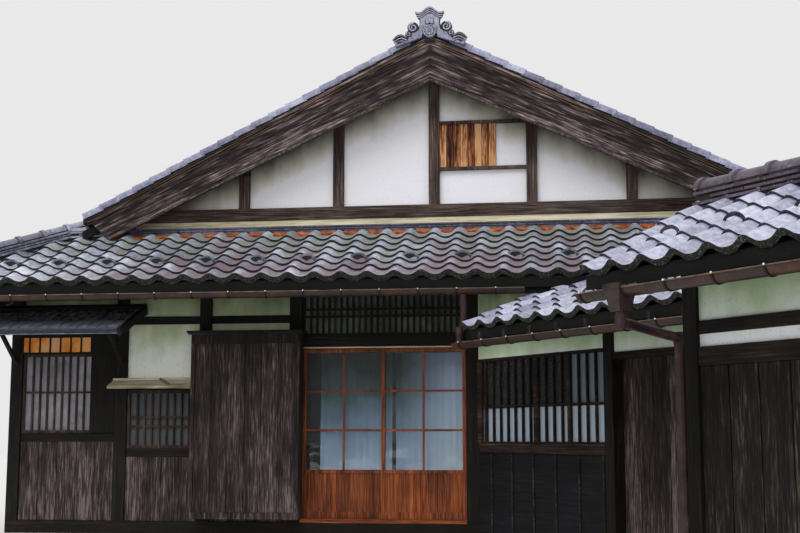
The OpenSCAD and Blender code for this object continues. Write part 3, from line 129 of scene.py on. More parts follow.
# Old Japanese cedar, unpainted: soft early wood has weathered away, so the grain stands in grey ridges
# over brown-black hollows. Real grain is 2 to 4 mm wide, drawn at grainWidth so that it shows.
# The argument that lightens the wood below a height holds two heights and how much lighter the wood is at the
# lower one; on the bargeboard that lighter foot is painted sunlight. above holds a height, and the way that
# the grain runs over it.
def timber(name, along, palette, grainWidth=0.014, stretch=28, rough=0.78, relief=0.5, mirror=False,
           spread=0.35, lighterBelow=None, lean=0.0, contrast=1.5, above=None, knots=0.0):
    material, tree, shader, place = newMaterial(name)
    if mirror:
        place = mirrored(tree, place)
    grain = alongGrain(tree, place, along, stretch)
    if above:
        height = put(tree, "SeparateXYZ", {"Vector": place}).outputs["Z"]
        high = put(tree, "Math", {0: height, 1: above[0]}, operation="GREATER_THAN")
        other = alongGrain(tree, place, above[1], stretch)
        grain = put(tree, "Mix", {0: high, 4: grain, 5: other}, data_type="VECTOR")
    fine = put(tree, "TexNoise", {"Vector": grain, "Scale": 1 / grainWidth, "Detail": 5, "Roughness": 0.62,
                                  "Distortion": 0.4})
    broad = put(tree, "TexNoise", {"Vector": grain, "Scale": 0.12 / grainWidth, "Detail": 3})
    patch = put(tree, "TexNoise", {"Vector": place, "Scale": 1.7, "Detail": 4, "Roughness": 0.6})
    tone = put(tree, "Attribute", attribute_name="tone").outputs["Fac"]
    level = 0.0
    for layer, share in ((fine, 0.55), (broad, 0.25), (patch, 0.20)):
        level = put(tree, "Math", {0: layer, 1: share, 2: level}, operation="MULTIPLY_ADD")
    level = put(tree, "Math", {0: level, 1: contrast, 2: 0.5 - 0.5 * contrast}, operation="MULTIPLY_ADD")
    level = put(tree, "Math", {0: tone, 1: spread * 0.25, 2: level}, operation="MULTIPLY_ADD")
    if lighterBelow:
        sun = put(tree, "MapRange", {"Value": heightOver(tree, place, lean), "From Min": lighterBelow[0],
                                     "From Max": lighterBelow[1], "To Min": lighterBelow[2], "To Max": 0.0})
        level = put(tree, "Math", {0: level, 1: sun}, operation="ADD")
    colour = put(tree, "ValToRGB", {"Fac": level}, stops=palette)
    if knots:
        spots = put(tree, "TexVoronoi", {"Vector": place, "Scale": 1.55})
        inside = put(tree, "ValToRGB", {"Fac": spots}, stops=[(0.04, knots), (0.075, 0.0)])
        rings = put(tree, "Math", {0: spots, 1: 420.0}, operation="MULTIPLY")
        rings = put(tree, "Math", {0: rings}, operation="SINE")
        rust = put(tree, "ValToRGB", {"Fac": rings}, stops=[(0.2, "#3a1e12"), (0.9, "#a5684a")])
        colour = put(tree, "Mix", {0: inside, 6: colour, 7: rust}, data_type="RGBA")
    feed(tree, shader, {"Base Color": colour, "Roughness": rough, "Specular IOR Level": 0.25})
    bumped(tree, shader, fine, relief, 0.006)
    return material


# Shades of timber, dark hollow to worn ridge
darkShades = [(0.36, "#0b0807"), (0.50, "#1d1512"), (0.60, "#33251e"), (0.74, "#5a473c")]
blackShades = [(0.36, "#060504"), (0.50, "#100d0b"), (0.62, "#1e1713"), (0.78, "#453831")]
# Near-black, for the eave boards and roof slabs: painted shade under the eaves
eaveShadeShades = [(0.36, "#050505"), (0.60, "#0e0d0c"), (0.80, "#1c1917")]
charShades = [(0.30, "#050404"), (0.48, "#110e0c"), (0.62, "#221c19"), (0.80, "#584c41")]
dadoShades = [(0.35, "#08090b"), (0.60, "#14151a"), (0.80, "#2a2c33")]
boardShades = [(0.30, "#0e0909"), (0.48, "#241a1b"), (0.60, "#3a2e30"), (0.76, "#6e6064")]
bargeShades = [(0.34, "#0b0606"), (0.45, "#1f1617"), (0.55, "#392d2e"), (0.66, "#6a5c5f"), (0.80, "#ad9992")]
# Pale tan, for the bargeboard's painted highlights
litEdgeShades = [(0.36, "#35271d"), (0.52, "#6f573c"), (0.70, "#b08e60")]
beamShades = [(0.32, "#1a100d"), (0.46, "#3a2c27"), (0.58, "#5c4e47"), (0.74, "#938376")]
strutShades = [(0.32, "#110907"), (0.48, "#2d1f1a"), (0.62, "#4b3a32"), (0.78, "#84766a")]
redShades = [(0.34, "#351506"), (0.48, "#683011"), (0.60, "#934a1d"), (0.76, "#b96c33")]
honeyShades = [(0.30, "#200d08"), (0.42, "#502617"), (0.56, "#8a4e2d"), (0.72, "#cf9c6c")]
paleShades = [(0.34, "#625c4a"), (0.48, "#a0987f"), (0.60, "#c1b89d"), (0.76, "#e0d9c0")]
tanShades = [(0.34, "#978c6d"), (0.48, "#c9c0a0"), (0.60, "#e2dbbe"), (0.76, "#f1edda")]

# The wing stands at an angle to the main house; its front runs along x in its own frame
wingTurn = math.radians(-51.3)
wingPlace = Matrix.Translation((0.49, 0, 0)) @ Matrix.Rotation(wingTurn, 4, "Z")
wingAlong = tuple(wingPlace.to_3x3() @ Vector((1, 0, 0)))
bargeSlope = 0.47
bargeAlong = (1, 0, -bargeSlope)


# Lime plaster, trowelled smooth: chalky white, darker and olive towards the eaves, partly algae and partly
# painted shade under the eaves. The darkening fades in between the two heights; lean has it follow a sloping
# roof line.
def limePlaster(name, clean, stainAndShade, low, high, amount, lean=0.0):
    material, tree, shader, place = newMaterial(name)
    height = heightOver(tree, mirrored(tree, place), lean)
    cloud = put(tree, "TexNoise", {"Vector": place, "Scale": 2.2, "Detail": 5, "Roughness": 0.6})
    drips = alongGrain(tree, place, (0, 0, 1), 7)
    streak = put(tree, "TexNoise", {"Vector": drips, "Scale": 9, "Detail": 4})
    fade = put(tree, "MapRange", {"Value": height, "From Min": low, "From Max": high, "To Max": amount},
               clamp=False)
    cloudy = put(tree, "Math", {0: cloud, 1: 0.8, 2: -0.40}, operation="MULTIPLY_ADD")
    fade = put(tree, "Math", {0: fade, 1: cloudy}, operation="ADD")
    streaky = put(tree, "Math", {0: streak, 1: 0.34, 2: -0.17}, operation="MULTIPLY_ADD")
    fade = put(tree, "Math", {0: fade, 1: streaky}, operation="ADD", use_clamp=True)
    colour = put(tree, "ValToRGB", {"Fac": fade}, stops=[(0.0, clean), (0.45, stainAndShade[0]), (1.0, stainAndShade[1])])
    specks = put(tree, "TexNoise", {"Vector": place, "Scale": 60, "Detail": 3, "Roughness": 0.7})
    speck = put(tree, "ValToRGB", {"Fac": specks}, stops=[(0.60, 0.0), (0.72, 0.55)])
    spotted = put(tree, "Mix", {0: speck, 6: colour, 7: linear(stainAndShade[1])}, data_type="RGBA")
    feed(tree, shader, {"Base Color": spotted, "Roughness": 0.9})
    bumped(tree, shader, cloud, 0.15, 0.01)
    return material


# Smoked clay tile: the kiln's carbon film gives a silver-grey, slightly metallic gloss. Where it has worn
# through, the clay is purple-brown, most near the eave; moss and lichen grow in the hollows further up.
# moss and purple say how far each spreads, cool keeps both from one end, and crevice sets how far ambient
# occlusion darkens narrow gaps: painted shade.
def smokedTile(name, shades, moss, mossColour, purple, purpleColour, rough=0.36, eave=None, cool=None,
               crevice=None):
    material, tree, shader, place = newMaterial(name)
    apart = put(tree, "SeparateXYZ", {"Vector": place})
    tone = put(tree, "Attribute", attribute_name="tone").outputs["Fac"]
    cloud = put(tree, "TexNoise", {"Vector": place, "Scale": 1.3, "Detail": 4, "Roughness": 0.6})
    grime = put(tree, "TexNoise", {"Vector": place, "Scale": 24, "Detail": 5, "Roughness": 0.7})
    mixed = -0.02
    for layer, share in ((tone, 0.14), (grime, 0.70), (cloud, 0.35)):
        mixed = put(tree, "Math", {0: layer, 1: share, 2: mixed}, operation="MULTIPLY_ADD")
    base = put(tree, "ValToRGB", {"Fac": mixed}, stops=shades)
    hollow = put(tree, "Attribute", attribute_name="hollow").outputs["Fac"]
    growth = put(tree, "TexNoise", {"Vector": place, "Scale": 3.1, "Detail": 6, "Roughness": 0.75})
    mossy = put(tree, "Math", {0: hollow, 1: 0.14, 2: growth}, operation="MULTIPLY_ADD")
    wearAndHighlight = put(tree, "TexNoise", {"Vector": place, "Scale": 2.6, "Detail": 5, "Roughness": 0.7, "W": 3.0},
               noise_dimensions="4D")
    wearAndHighlight = put(tree, "Math", {0: hollow, 1: 0.12, 2: wearAndHighlight}, operation="MULTIPLY_ADD")
    wearAndHighlight = put(tree, "Math", {0: tone, 1: -0.04, 2: wearAndHighlight}, operation="MULTIPLY_ADD")
    if eave:
        low = put(tree, "MapRange", {"Value": apart.outputs["Z"], "From Min": eave[0], "From Max": eave[1],
                                     "To Min": 0.10, "To Max": -0.10})
        wearAndHighlight = put(tree, "Math", {0: wearAndHighlight, 1: low}, operation="ADD")
        mossy = put(tree, "Math", {0: mossy, 1: low}, operation="SUBTRACT")
    if cool:
        far = put(tree, "MapRange", {"Value": apart.outputs["X"], "From Min": cool[0], "From Max": cool[1],
                                     "To Min": 0.16, "To Max": 0.0})
        wearAndHighlight = put(tree, "Math", {0: wearAndHighlight, 1: far}, operation="SUBTRACT")
        mossy = put(tree, "Math", {0: mossy, 1: far}, operation="SUBTRACT")
    mossy = put(tree, "ValToRGB", {"Fac": mossy}, stops=[(0.58 - moss * 0.2, 0.0), (0.82 - moss * 0.2, 0.8)])
    base = put(tree, "Mix", {0: mossy, 6: base, 7: linear(mossColour)}, data_type="RGBA")
    bare = [(0.58 - purple * 0.2, 0.0), (0.78 - purple * 0.2, 0.8)]
    wearAndHighlight = put(tree, "ValToRGB", {"Fac": wearAndHighlight}, stops=bare)
    base = put(tree, "Mix", {0: wearAndHighlight, 6: base, 7: linear(purpleColour)}, data_type="RGBA")
    spots = put(tree, "TexVoronoi", {"Vector": place, "Scale": 34, "Randomness": 1.0})
    lichen = put(tree, "ValToRGB", {"Fac": spots}, stops=[(0.10, 0.5), (0.17, 0.0)])
    base = put(tree, "Mix", {0: lichen, 6: base, 7: linear("#c3c7b4")}, data_type="RGBA")
    # Painted shade: ambient occlusion darkens the colour in narrow gaps and under laps
    if crevice:
        clear = put(tree, "AmbientOcclusion", {"Distance": crevice}, samples=6).outputs["AO"]
        paintedShade = put(tree, "ValToRGB", {"Fac": clear}, stops=[(0.35, 0.12), (0.85, 1.0)])
        base = put(tree, "Mix", {0: 1.0, 6: base, 7: paintedShade}, data_type="RGBA", blend_type="MULTIPLY")
    gloss = put(tree, "Math", {0: grime, 1: 0.35, 2: rough - 0.15}, operation="MULTIPLY_ADD")
    feed(tree, shader, {"Base Color": base, "Roughness": gloss})
    bumped(tree, shader, grime, 0.25, 0.004)
    return material


# Shades of smoked tile, from grimy to clean
blueShades = [(0.30, "#3c4048"), (0.48, "#6d7480"), (0.64, "#959cab"), (0.86, "#c0c5d2")]
greyShades = [(0.26, "#595d68"), (0.44, "#9095a5"), (0.60, "#bfc5d6"), (0.84, "#e8ecf7")]
silverShades = [(0.26, "#63647a"), (0.46, "#9697ae"), (0.62, "#bdbfd4"), (0.86, "#e8e9f7")]
vergeShades = [(0.30, "#3e3e52"), (0.48, "#6c6d88"), (0.64, "#9395b0"), (0.86, "#c1c3da")]
plumShades = [(0.30, "#271f2a"), (0.48, "#473c4c"), (0.64, "#685c6e"), (0.86, "#998ca3")]
hipShades = [(0.30, "#454454"), (0.48, "#77778b"), (0.64, "#a1a2b6"), (0.86, "#cfd0e0")]


# Any plain surface with a little mottling: stone, cast floor, painted metal
def mottled(name, shades, scale, rough, metallic=0.0, relief=0.2, stretch=1):
    material, tree, shader, place = newMaterial(name)
    spread = alongGrain(tree, place, (0, 0, 1), stretch)
    cloud = put(tree, "TexNoise", {"Vector": spread, "Scale": scale, "Detail": 6, "Roughness": 0.65})
    colour = put(tree, "ValToRGB", {"Fac": cloud}, stops=shades)
    feed(tree, shader, {"Base Color": colour, "Roughness": rough, "Metallic": metallic})
    bumped(tree, shader, cloud, relief, 0.005)
    return material


# Drawn sheet glass, old and slightly wavy: nearly clear, with a faint green body
def sheetGlass(name, tint, rough, through):
    material, tree, shader, place = newMaterial(name)
    wave = put(tree, "TexNoise", {"Vector": place, "Scale": 3.5, "Detail": 2})
    feed(tree, shader, {"Base Color": linear(tint), "Roughness": rough, "Transmission Weight": through,
                        "IOR": 1.50})
    bumped(tree, shader, wave, 0.25, 0.01)
    return material


# Plain cotton voile. Its colour is dark and green above, pale blue below and darker towards the left: painted
# shade of the deep eave and a painted reflection of trees in the old glass. A faint emission makes it glow a
# little, painted light standing for daylight from the room behind. The weave is drawn 2 mm wide so that it
# shows.
def curtainCloth(name, leftShades, rightShades):
    material, tree, shader, place = newMaterial(name)
    apart = put(tree, "SeparateXYZ", {"Vector": place})
    cloud = put(tree, "TexNoise", {"Vector": place, "Scale": 3.2, "Detail": 3})
    height = put(tree, "MapRange", {"Value": apart.outputs["Z"], "From Min": 0.95, "From Max": 2.20})
    height = put(tree, "Math", {0: cloud, 1: 0.36, 2: height}, operation="MULTIPLY_ADD")
    height = put(tree, "Math", {0: height, 1: 0.18}, operation="SUBTRACT")
    left = put(tree, "ValToRGB", {"Fac": height}, stops=leftShades)
    right = put(tree, "ValToRGB", {"Fac": height}, stops=rightShades)
    side = put(tree, "MapRange", {"Value": apart.outputs["X"], "From Min": -0.30, "From Max": 0.22})
    both = put(tree, "Mix", {0: side, 6: left, 7: right}, data_type="RGBA")
    weave = put(tree, "TexNoise", {"Vector": place, "Scale": 420, "Detail": 2})
    thread = put(tree, "ValToRGB", {"Fac": weave}, stops=[(0.3, 0.80), (0.7, 1.0)])
    cloth = put(tree, "Mix", {0: 1.0, 6: both, 7: thread}, data_type="RGBA", blend_type="MULTIPLY")
    glow = put(tree, "Mix", {0: 1.0, 6: cloth, 7: linear("#b4c8e6")}, data_type="RGBA", blend_type="MULTIPLY")
    feed(tree, shader, {"Base Color": cloth, "Roughness": 0.95, "Sheen Weight": 0.2, "Emission Color": glow,
                        "Emission Strength": 0.17})
    bumped(tree, shader, weave, 0.15, 0.001)
    return material


finish = {
    "post": timber("cedarPost", (0, 0, 1), blackShades),
    "railX": timber("cedarRail", (1, 0, 0), blackShades),
    "railY": timber("cedarSideRail", (0, 1, 0), blackShades),
    "railWing": timber("cedarWingRail", wingAlong, darkShades),
    # The eave boards, rafters and roof slabs are drawn near-black: painted shade under the eaves
    "eave": timber("shadedEaveBoard", (0, 1, 0.3), eaveShadeShades),
    "beam": timber("cedarGableBeam", (1, 0, 0), beamShades, relief=0.8, above=(3.875, (0, 0, 1)), knots=1.0),
    "litEdge": timber("litBargeEdge", bargeAlong, litEdgeShades, grainWidth=0.03, mirror=True),
    # The bargeboard's lighter band along its foot is painted sunlight
    "barge": timber("cedarBargeboard", bargeAlong, bargeShades, grainWidth=0.017, stretch=16, relief=1.0,
                    mirror=True, contrast=2.1, lighterBelow=(5.20, 5.36, 0.09), lean=bargeSlope),
    "board": timber("cedarBoard", (0, 0, 1), boardShades, grainWidth=0.013, stretch=16, relief=0.8,
                    lighterBelow=(0.3, 1.6, 0.10), contrast=1.9),
    "bar": timber("cedarBar", (0, 0, 1), strutShades, grainWidth=0.010),
    "darkBoard": timber("charredBoard", (0, 0, 1), charShades, grainWidth=0.012, stretch=14, relief=0.8,
                        contrast=2.0, lighterBelow=(0.2, 1.4, 0.06)),
    "dado": timber("charredDado", wingAlong, dadoShades, contrast=1.6),
    "honey": timber("freshCedarBoard", (0, 0, 1), honeyShades, grainWidth=0.014, stretch=14, spread=0.8,
                    contrast=2.0, lighterBelow=(4.28, 4.80, 0.12)),
    "door": timber("lacqueredCypress", (0, 0, 1), redShades, rough=0.42, relief=0.15),
    "doorX": timber("lacqueredCypressRail", (1, 0, 0), redShades, rough=0.42, relief=0.15),
    "pale": timber("paleOldBoard", (1, 0, 0), paleShades),
    "tan": timber("tanOldBoard", (1, 0, 0), tanShades),
    "floor": timber("cedarFloor", (1, 0, 0), boardShades),
    # On the gable the darkening under the verge is grey-brown with no green: painted shade
    "gablePlaster": limePlaster("gablePlaster", "#e9e9ef", ("#bfbcad", "#5f5b50"), 4.95, 5.33, 1.0,
                                bargeSlope),
    "frontPlaster": limePlaster("frontPlaster", "#dfe3db", ("#a9b491", "#4d5f33"), 2.15, 2.93, 1.0),
    "wingPlaster": limePlaster("wingPlaster", "#edf3f6", ("#bccfae", "#6b8b52"), 1.95, 2.38, 0.9),
    "tileBlue": smokedTile("smokedTileBlue", blueShades, 0.0, "#6a705d", 0.0, "#6b5a62"),
    "tileFront": smokedTile("smokedTileFront", greyShades, 0.45, "#7d8070", 0.50, "#7f6a70",
                            eave=(2.95, 3.45), cool=(-4.9, -2.6)),
    "tileSilver": smokedTile("smokedTileSilver", silverShades, -0.3, "#7a7f72", -0.3, "#8a7f8a", rough=0.32,
                             crevice=0.035),
    "tilePlum": smokedTile("smokedTilePlum", plumShades, -0.2, "#5d6350", 0.4, "#6b5562", crevice=0.05),
    "tileHip": smokedTile("smokedTileHip", hipShades, -0.2, "#5d6350", 0.1, "#6f6076", crevice=0.05),
    "tileCarved": smokedTile("smokedTileCarved", hipShades, -0.1, "#5f6654", 0.0, "#6b5a62", crevice=0.045),
    "tileVerge": smokedTile("smokedTileVerge", vergeShades, -0.2, "#6a705d", 0.0, "#6b5a62"),
    "tileEdge": mottled("mossyTileEdge", [(0.38, "#100f0d"), (0.52, "#242420"), (0.62, "#4b4c44"),
                                          (0.74, "#a6a899")], 70, 0.95, relief=0.6),
    # Near-black finishes, painted shade: under the tile noses they also stand for the tile's own dark edge,
    # and they fill the carving's recesses and the guards' openings
    "noseDark": mottled("darkTileNose", [(0.35, "#0b0b12"), (0.6, "#191a24"), (0.85, "#3c3e4c")], 40, 0.7),
    "noseViolet": mottled("violetTileNose", [(0.35, "#1b1927"), (0.6, "#2f2c40"), (0.85, "#5c5871")],
                          40, 0.7),
    "mortar": mottled("roofMortar", [(0.3, "#15120f"), (0.7, "#38302a")], 20, 0.95),
    "clay": mottled("redRoofClay", [(0.3, "#4d2010"), (0.5, "#93491f"), (0.7, "#cb7f44")], 14, 0.95),
    "stone": mottled("splitGranite", [(0.35, "#4c4a46"), (0.5, "#7b7973"), (0.7, "#a29f97")], 26, 0.85,
                     relief=0.5),
    "screed": mottled("limeScreed", [(0.35, "#67635b"), (0.6, "#8d887e")], 6, 0.9),
    "gutter": mottled("brownCoatedSteel", [(0.35, "#180a05"), (0.55, "#331a0f"), (0.75, "#5a321f")], 5, 0.42,
                      metallic=0.1),
    "pipe": mottled("brownCoatedPipe", [(0.35, "#22151a"), (0.55, "#3d2729"), (0.75, "#6d4a48")], 6, 0.4,
                    metallic=0.2),
    # Paler than the gutter: painted highlight on the rolled rims
    "rim": mottled("gutterRimHighlight", [(0.35, "#3b2c20"), (0.6, "#6e5846"), (0.8, "#a08973")], 9, 0.4,
                   metallic=0.1),
    "iron": mottled("blackIron", [(0.35, "#0e0c0b"), (0.7, "#2c2623")], 30, 0.6, metallic=0.5),
    "glintBead": mottled("hookGlint", [(0.3, "#b9bab8"), (0.7, "#f0f0ec")], 30, 0.3, metallic=0.4),
    "slate": mottled("darkSheetRoof", [(0.35, "#353a42"), (0.55, "#626873"), (0.75, "#a4abb5")], 9, 0.25,
                     stretch=4),
    # Pale strip on the canopy sheet: painted sheen
    "paleEdge": mottled("paleSheetStrip", [(0.3, "#41454e"), (0.6, "#737984"), (0.8, "#aeb5c0")], 12,
                        0.5),
    "indigoEdge": mottled("wetSheetEdge", [(0.35, "#0c0c18"), (0.55, "#1f1f38"), (0.75, "#54546f")], 60, 0.5),
    "litPaper": mottled("lampLitPaper", [(0.35, "#c9701f"), (0.5, "#e59a4a"), (0.7, "#c9a68a")], 4, 0.9),
    "dimPaper": mottled("unlitPaper", [(0.35, "#6a6a72"), (0.55, "#8b8992"), (0.75, "#aba29c")], 3, 0.9),
    "paper": mottled("shojiPaper", [(0.35, "#3a433c"), (0.6, "#59645a"), (0.8, "#6f7a6f")], 5, 0.95),
    # Near-black wall seen through the wing's clear panes: painted shade of the dark room behind them
    "paintedShade": mottled("paintedInteriorShade", [(0.35, "#030303"), (0.7, "#0b0908")], 6, 0.95),
    "glass": sheetGlass("drawnGlass", "#e8eff2", 0.02, 0.97),
    "frosted": sheetGlass("frostedGlass", "#a9b8c6", 0.60, 0.12),
    # Darker copies of the frosted glass, for the front windows and the wing's upper right panes: painted
    # shade
    "frontFrosted": sheetGlass("frostedFrontGlass", "#484d51", 0.60, 0.12),
    "obscure": sheetGlass("frostedGlassInShade", "#6b757f", 0.60, 0.15),
    "curtain": curtainCloth("cottonVoile",
                            [(0.08, "#d2deef"), (0.38, "#9fb1c4"), (0.60, "#5f7574"), (0.85, "#28332c")],
                            [(0.08, "#f6f9ff"), (0.45, "#ecf4ff"), (0.70, "#dde5f2"), (0.90, "#a8aebb")]),
}
print("materials made:", len(finish))


# Turns a bmesh into a piece at the origin, and has it ride on its body
def makePiece(name, bm, materials, body="house", replaces=(), smooth=None):
    mesh = bpy.data.meshes.new(name)
    bm.to_mesh(mesh)
    bm.free()
    for key in materials:
        mesh.materials.append(finish[key])
    if smooth:
        mesh.shade_smooth()
        mesh.set_sharp_from_angle(angle=math.radians(smooth))
    piece = bpy.data.objects.new(name, mesh)
    scene.collection.objects.link(piece)
    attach(piece, body)
    if replaces:
        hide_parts(*replaces)
    return piece


# Gives back a function that adds a moved copy of one small mesh to a bmesh
def stamper(bm):
    bmesh.ops.recalc_face_normals(bm, faces=bm.faces)
    mesh = bpy.data.meshes.new("template")
    bm.to_mesh(mesh)
    bm.free()
    mesh.attributes.new("tone", "FLOAT", "POINT")
    rest = numpy.empty(len(mesh.vertices) * 3, numpy.float32)
    mesh.vertices.foreach_get("co", rest)
    rest = rest.reshape(-1, 3)

    def stamp(target, matrix, tone=0.0):
        turn = numpy.array(matrix.to_3x3())
        placed = rest @ turn.T + numpy.array(matrix.translation)
        mesh.vertices.foreach_set("co", placed.astype(numpy.float32).ravel())
        mesh.attributes["tone"].data.foreach_set("value", numpy.full(len(rest), tone, numpy.float32))
        target.from_mesh(mesh)

    return stamp


# Adds a whole bmesh to the target once, in one material slot
def addTo(target, bm, matrix, tone, slot):
    for face in bm.faces:
        face.material_index = slot
    stamper(bm)(target, matrix, tone)


def pour(target, bm):
    mesh = bpy.data.meshes.new("poured")
    bm.to_mesh(mesh)
    bm.free()
    target.from_mesh(mesh)


# The new vertices of an extrusion
def drawnOut(made):
    return [part for part in made["geom"] if isinstance(part, bmesh.types.BMVert)]


# A sawn bar between two corners, its edges eased
def bar(target, low, high, ease=0.004, tone=0.0, matrix=None, slot=0):
    bm = bmesh.new()
    bmesh.ops.create_cube(bm, size=1)
    size = [b - a for a, b in zip(low, high)]
    middle = [(a + b) / 2 for a, b in zip(low, high)]
    bmesh.ops.scale(bm, vec=size, verts=bm.verts)
    ease = min(ease, min(size) * 0.3)
    bmesh.ops.bevel(bm, geom=bm.edges[:], offset=ease, affect="EDGES", segments=1, profile=0.5, material=-1)
    place = Matrix.Translation(middle)
    addTo(target, bm, matrix @ place if matrix else place, tone, slot)


# An outline in x and z drawn out between two values of y, its front edges eased
def prism(target, outline, front, back, ease=0.004, tone=0.0, matrix=Matrix.Identity(4), slot=0):
    bm = bmesh.new()
    face = bm.faces.new([bm.verts.new((x, front, z)) for x, z in outline])
    made = bmesh.ops.extrude_face_region(bm, geom=[face], use_keep_orig=True)
    bmesh.ops.translate(bm, vec=(0, back - front, 0), verts=drawnOut(made))
    bmesh.ops.recalc_face_normals(bm, faces=bm.faces)
    rim = [e for e in bm.edges if all(abs(v.co.y - front) < 1e-6 for v in e.verts)]
    if ease:
        bmesh.ops.bevel(bm, geom=rim, offset=ease, affect="EDGES", segments=1, profile=0.5, material=-1)
    addTo(target, bm, matrix, tone, slot)


# A rod of round section through the given points, thinning from one radius to the other
def rod(target, points, radius, thin=None, sides=8, tone=0.0, matrix=Matrix.Identity(4), slot=0):
    bm = bmesh.new()
    points = [Vector(point) for point in points]
    turns = [2 * math.pi * k / sides for k in range(sides)]
    rings = []
    for i, point in enumerate(points):
        along = (points[min(i + 1, len(points) - 1)] - points[max(i - 1, 0)]).normalized()
        side = along.cross(Vector((0, 1, 0)) if abs(along.y) < 0.9 else Vector((0, 0, 1))).normalized()
        other = along.cross(side)
        r = radius + ((thin or radius) - radius) * i / (len(points) - 1)
        rings.append([bm.verts.new(point + side * (r * math.cos(a)) + other * (r * math.sin(a)))
                      for a in turns])
    for ring, after in zip(rings, rings[1:]):
        for k in range(sides):
            bm.faces.new((ring[k], ring[(k + 1) % sides], after[(k + 1) % sides], after[k]))
    for ring in (rings[0], rings[-1]):
        bm.faces.new(ring)
    addTo(target, bm, matrix, tone, slot)


# Places a slope's own axes: across to the right, up the slope, and out of it
def slopeFrame(corner, across, run, rise):
    across = Vector(across).normalized()
    up = Vector((run[0], run[1], rise)).normalized()
    out = across.cross(up)
    frameOf = Matrix((across, up, out)).transposed().to_4x4()
    frameOf.translation = corner
    return frameOf


# Pantiles. One tile is a shallow trough with a roll at its left, and laps the tile below and the one beside
# it. The main house has the older, rounder kind; the wing's are narrower at the roll, and the annex's lie
# closer together up the slope.
pantile = {"lap": 0.05, "thick": 0.016, "wave": 0.054, "segments": 14, "sideLap": 0.006, "over": 0.005,
           "bed": -0.008, "lipIn": 0.006, "overhang": 0.02, "shift": 0.002, "turn": 0.012, "tones": 0.45}
mainKind = {"exposed": 0.206, "lift": 0.029, "lip": 0.066, "roll": 0.14, "trough": 0.64, "sharp": 1.35}
sideKind = {**mainKind, "exposed": 0.235}
wingKind = {"exposed": 0.232, "lift": 0.025, "lip": 0.046, "roll": 0.11, "trough": 0.55, "sharp": 1.60}
annexKind = {**wingKind, "exposed": 0.186, "lift": 0.022}


def tileWave(share, kind):
    run = (share - kind["roll"]) % 1
    fall = kind["trough"] - kind["roll"]
    turn = math.pi * (run / fall if run < fall else 1 + (run - fall) / (1 - fall))
    return pantile["wave"] * ((1 + math.cos(turn)) / 2) ** kind["sharp"]


# One pantile of the given width, its nose at y = 0. An eave tile has a lip that hangs over the eave.
# The hollow attribute tells the material how deep in the trough a point lies.
def tileTemplate(width, eave, kind):
    bm = bmesh.new()
    count = pantile["segments"]
    base = kind["lift"] + pantile["bed"] + pantile["thick"]
    nose = []
    for i in range(count + 1):
        share = i / count
        x = share * (width + 2 * pantile["over"]) - pantile["over"]
        nose.append(bm.verts.new((x, 0, tileWave(share, kind) + pantile["sideLap"] * share + base)))
    edges = [bm.edges.new(pair) for pair in zip(nose, nose[1:])]
    head = drawnOut(bmesh.ops.extrude_edge_only(bm, edges=edges))
    bmesh.ops.translate(bm, vec=(0, kind["exposed"] + pantile["lap"], -kind["lift"]), verts=head)
    if eave:
        lip = drawnOut(bmesh.ops.extrude_edge_only(bm, edges=edges))
        bmesh.ops.translate(bm, vec=(0, pantile["lipIn"], -kind["lip"]), verts=lip)
    bmesh.ops.recalc_face_normals(bm, faces=bm.faces)
    if sum(f.normal.z for f in bm.faces) < 0:
        bmesh.ops.reverse_faces(bm, faces=bm.faces)
    bmesh.ops.solidify(bm, geom=bm.faces[:], thickness=pantile["thick"])
    hollow = bm.verts.layers.float.new("hollow")
    for vert in bm.verts:
        share = min(max(vert.co.x / width, 0), 1)
        vert[hollow] = 1 - tileWave(share, kind) / pantile["wave"]
    bm.normal_update()
    # Front faces at the nose: an eave tile's lip takes the mossy edge; a plain tile's nose takes the dark
    # nose finish, painted shade under the nose with the tile's own dark edge
    for face in bm.faces:
        if face.calc_center_median().y < 0.03 and face.normal.y < -0.5:
            face.material_index = 1 if eave else 2
    return stamper(bm)


# Keeps only what lies on the inner side of a plane, and closes the cut tiles
def cutField(bm, point, outward):
    result = bmesh.ops.bisect_plane(bm, geom=bm.verts[:] + bm.edges[:] + bm.faces[:], plane_co=point,
                                    plane_no=outward, clear_outer=True)
    cut = [g for g in result["geom_cut"] if isinstance(g, bmesh.types.BMEdge)]
    for face in bmesh.ops.holes_fill(bm, edges=cut)["faces"]:
        face.material_index = 0


# Lays rows and columns of tiles on a slope, and cuts them along the given planes
def layTiles(target, slope, width, columns, rows, cuts=(), kind=mainKind):
    bm = bmesh.new()
    plain = tileTemplate(width, False, kind)
    eave = tileTemplate(width, True, kind)
    for row in range(*rows):
        for column in range(*columns):
            shift = draw.uniform(-pantile["shift"], pantile["shift"])
            tilt = Matrix.Rotation(draw.uniform(-pantile["turn"], pantile["turn"]), 4, "Z")
            up = row * kind["exposed"] - pantile["overhang"]
            place = slope @ Matrix.Translation((column * width + shift, up, shift)) @ tilt
            (eave if row == 0 else plain)(bm, place, draw.gauss(0, pantile["tones"]))
    for point, outward in cuts:
        cutField(bm, point, outward)
    pour(target, bm)


def rowsUp(run, slope, kind):
    return math.ceil(run * math.hypot(1, slope) / kind["exposed"])


# Snow guards: a small clay hoop stands on every second tile of the third course. On the main house the
# opening is drawn with a thin dark filling, painted shadow.
snowGuard = {"radius": 0.084, "tube": 0.016, "row": 2, "step": 2, "flat": 0.74, "deep": 1.6, "lean": -0.35,
             "place": (0, 0.070, 0.046), "shadowFill": (34, 181, 14), "shadowFillY": (0.004, 0.012), "beside": 0.12}


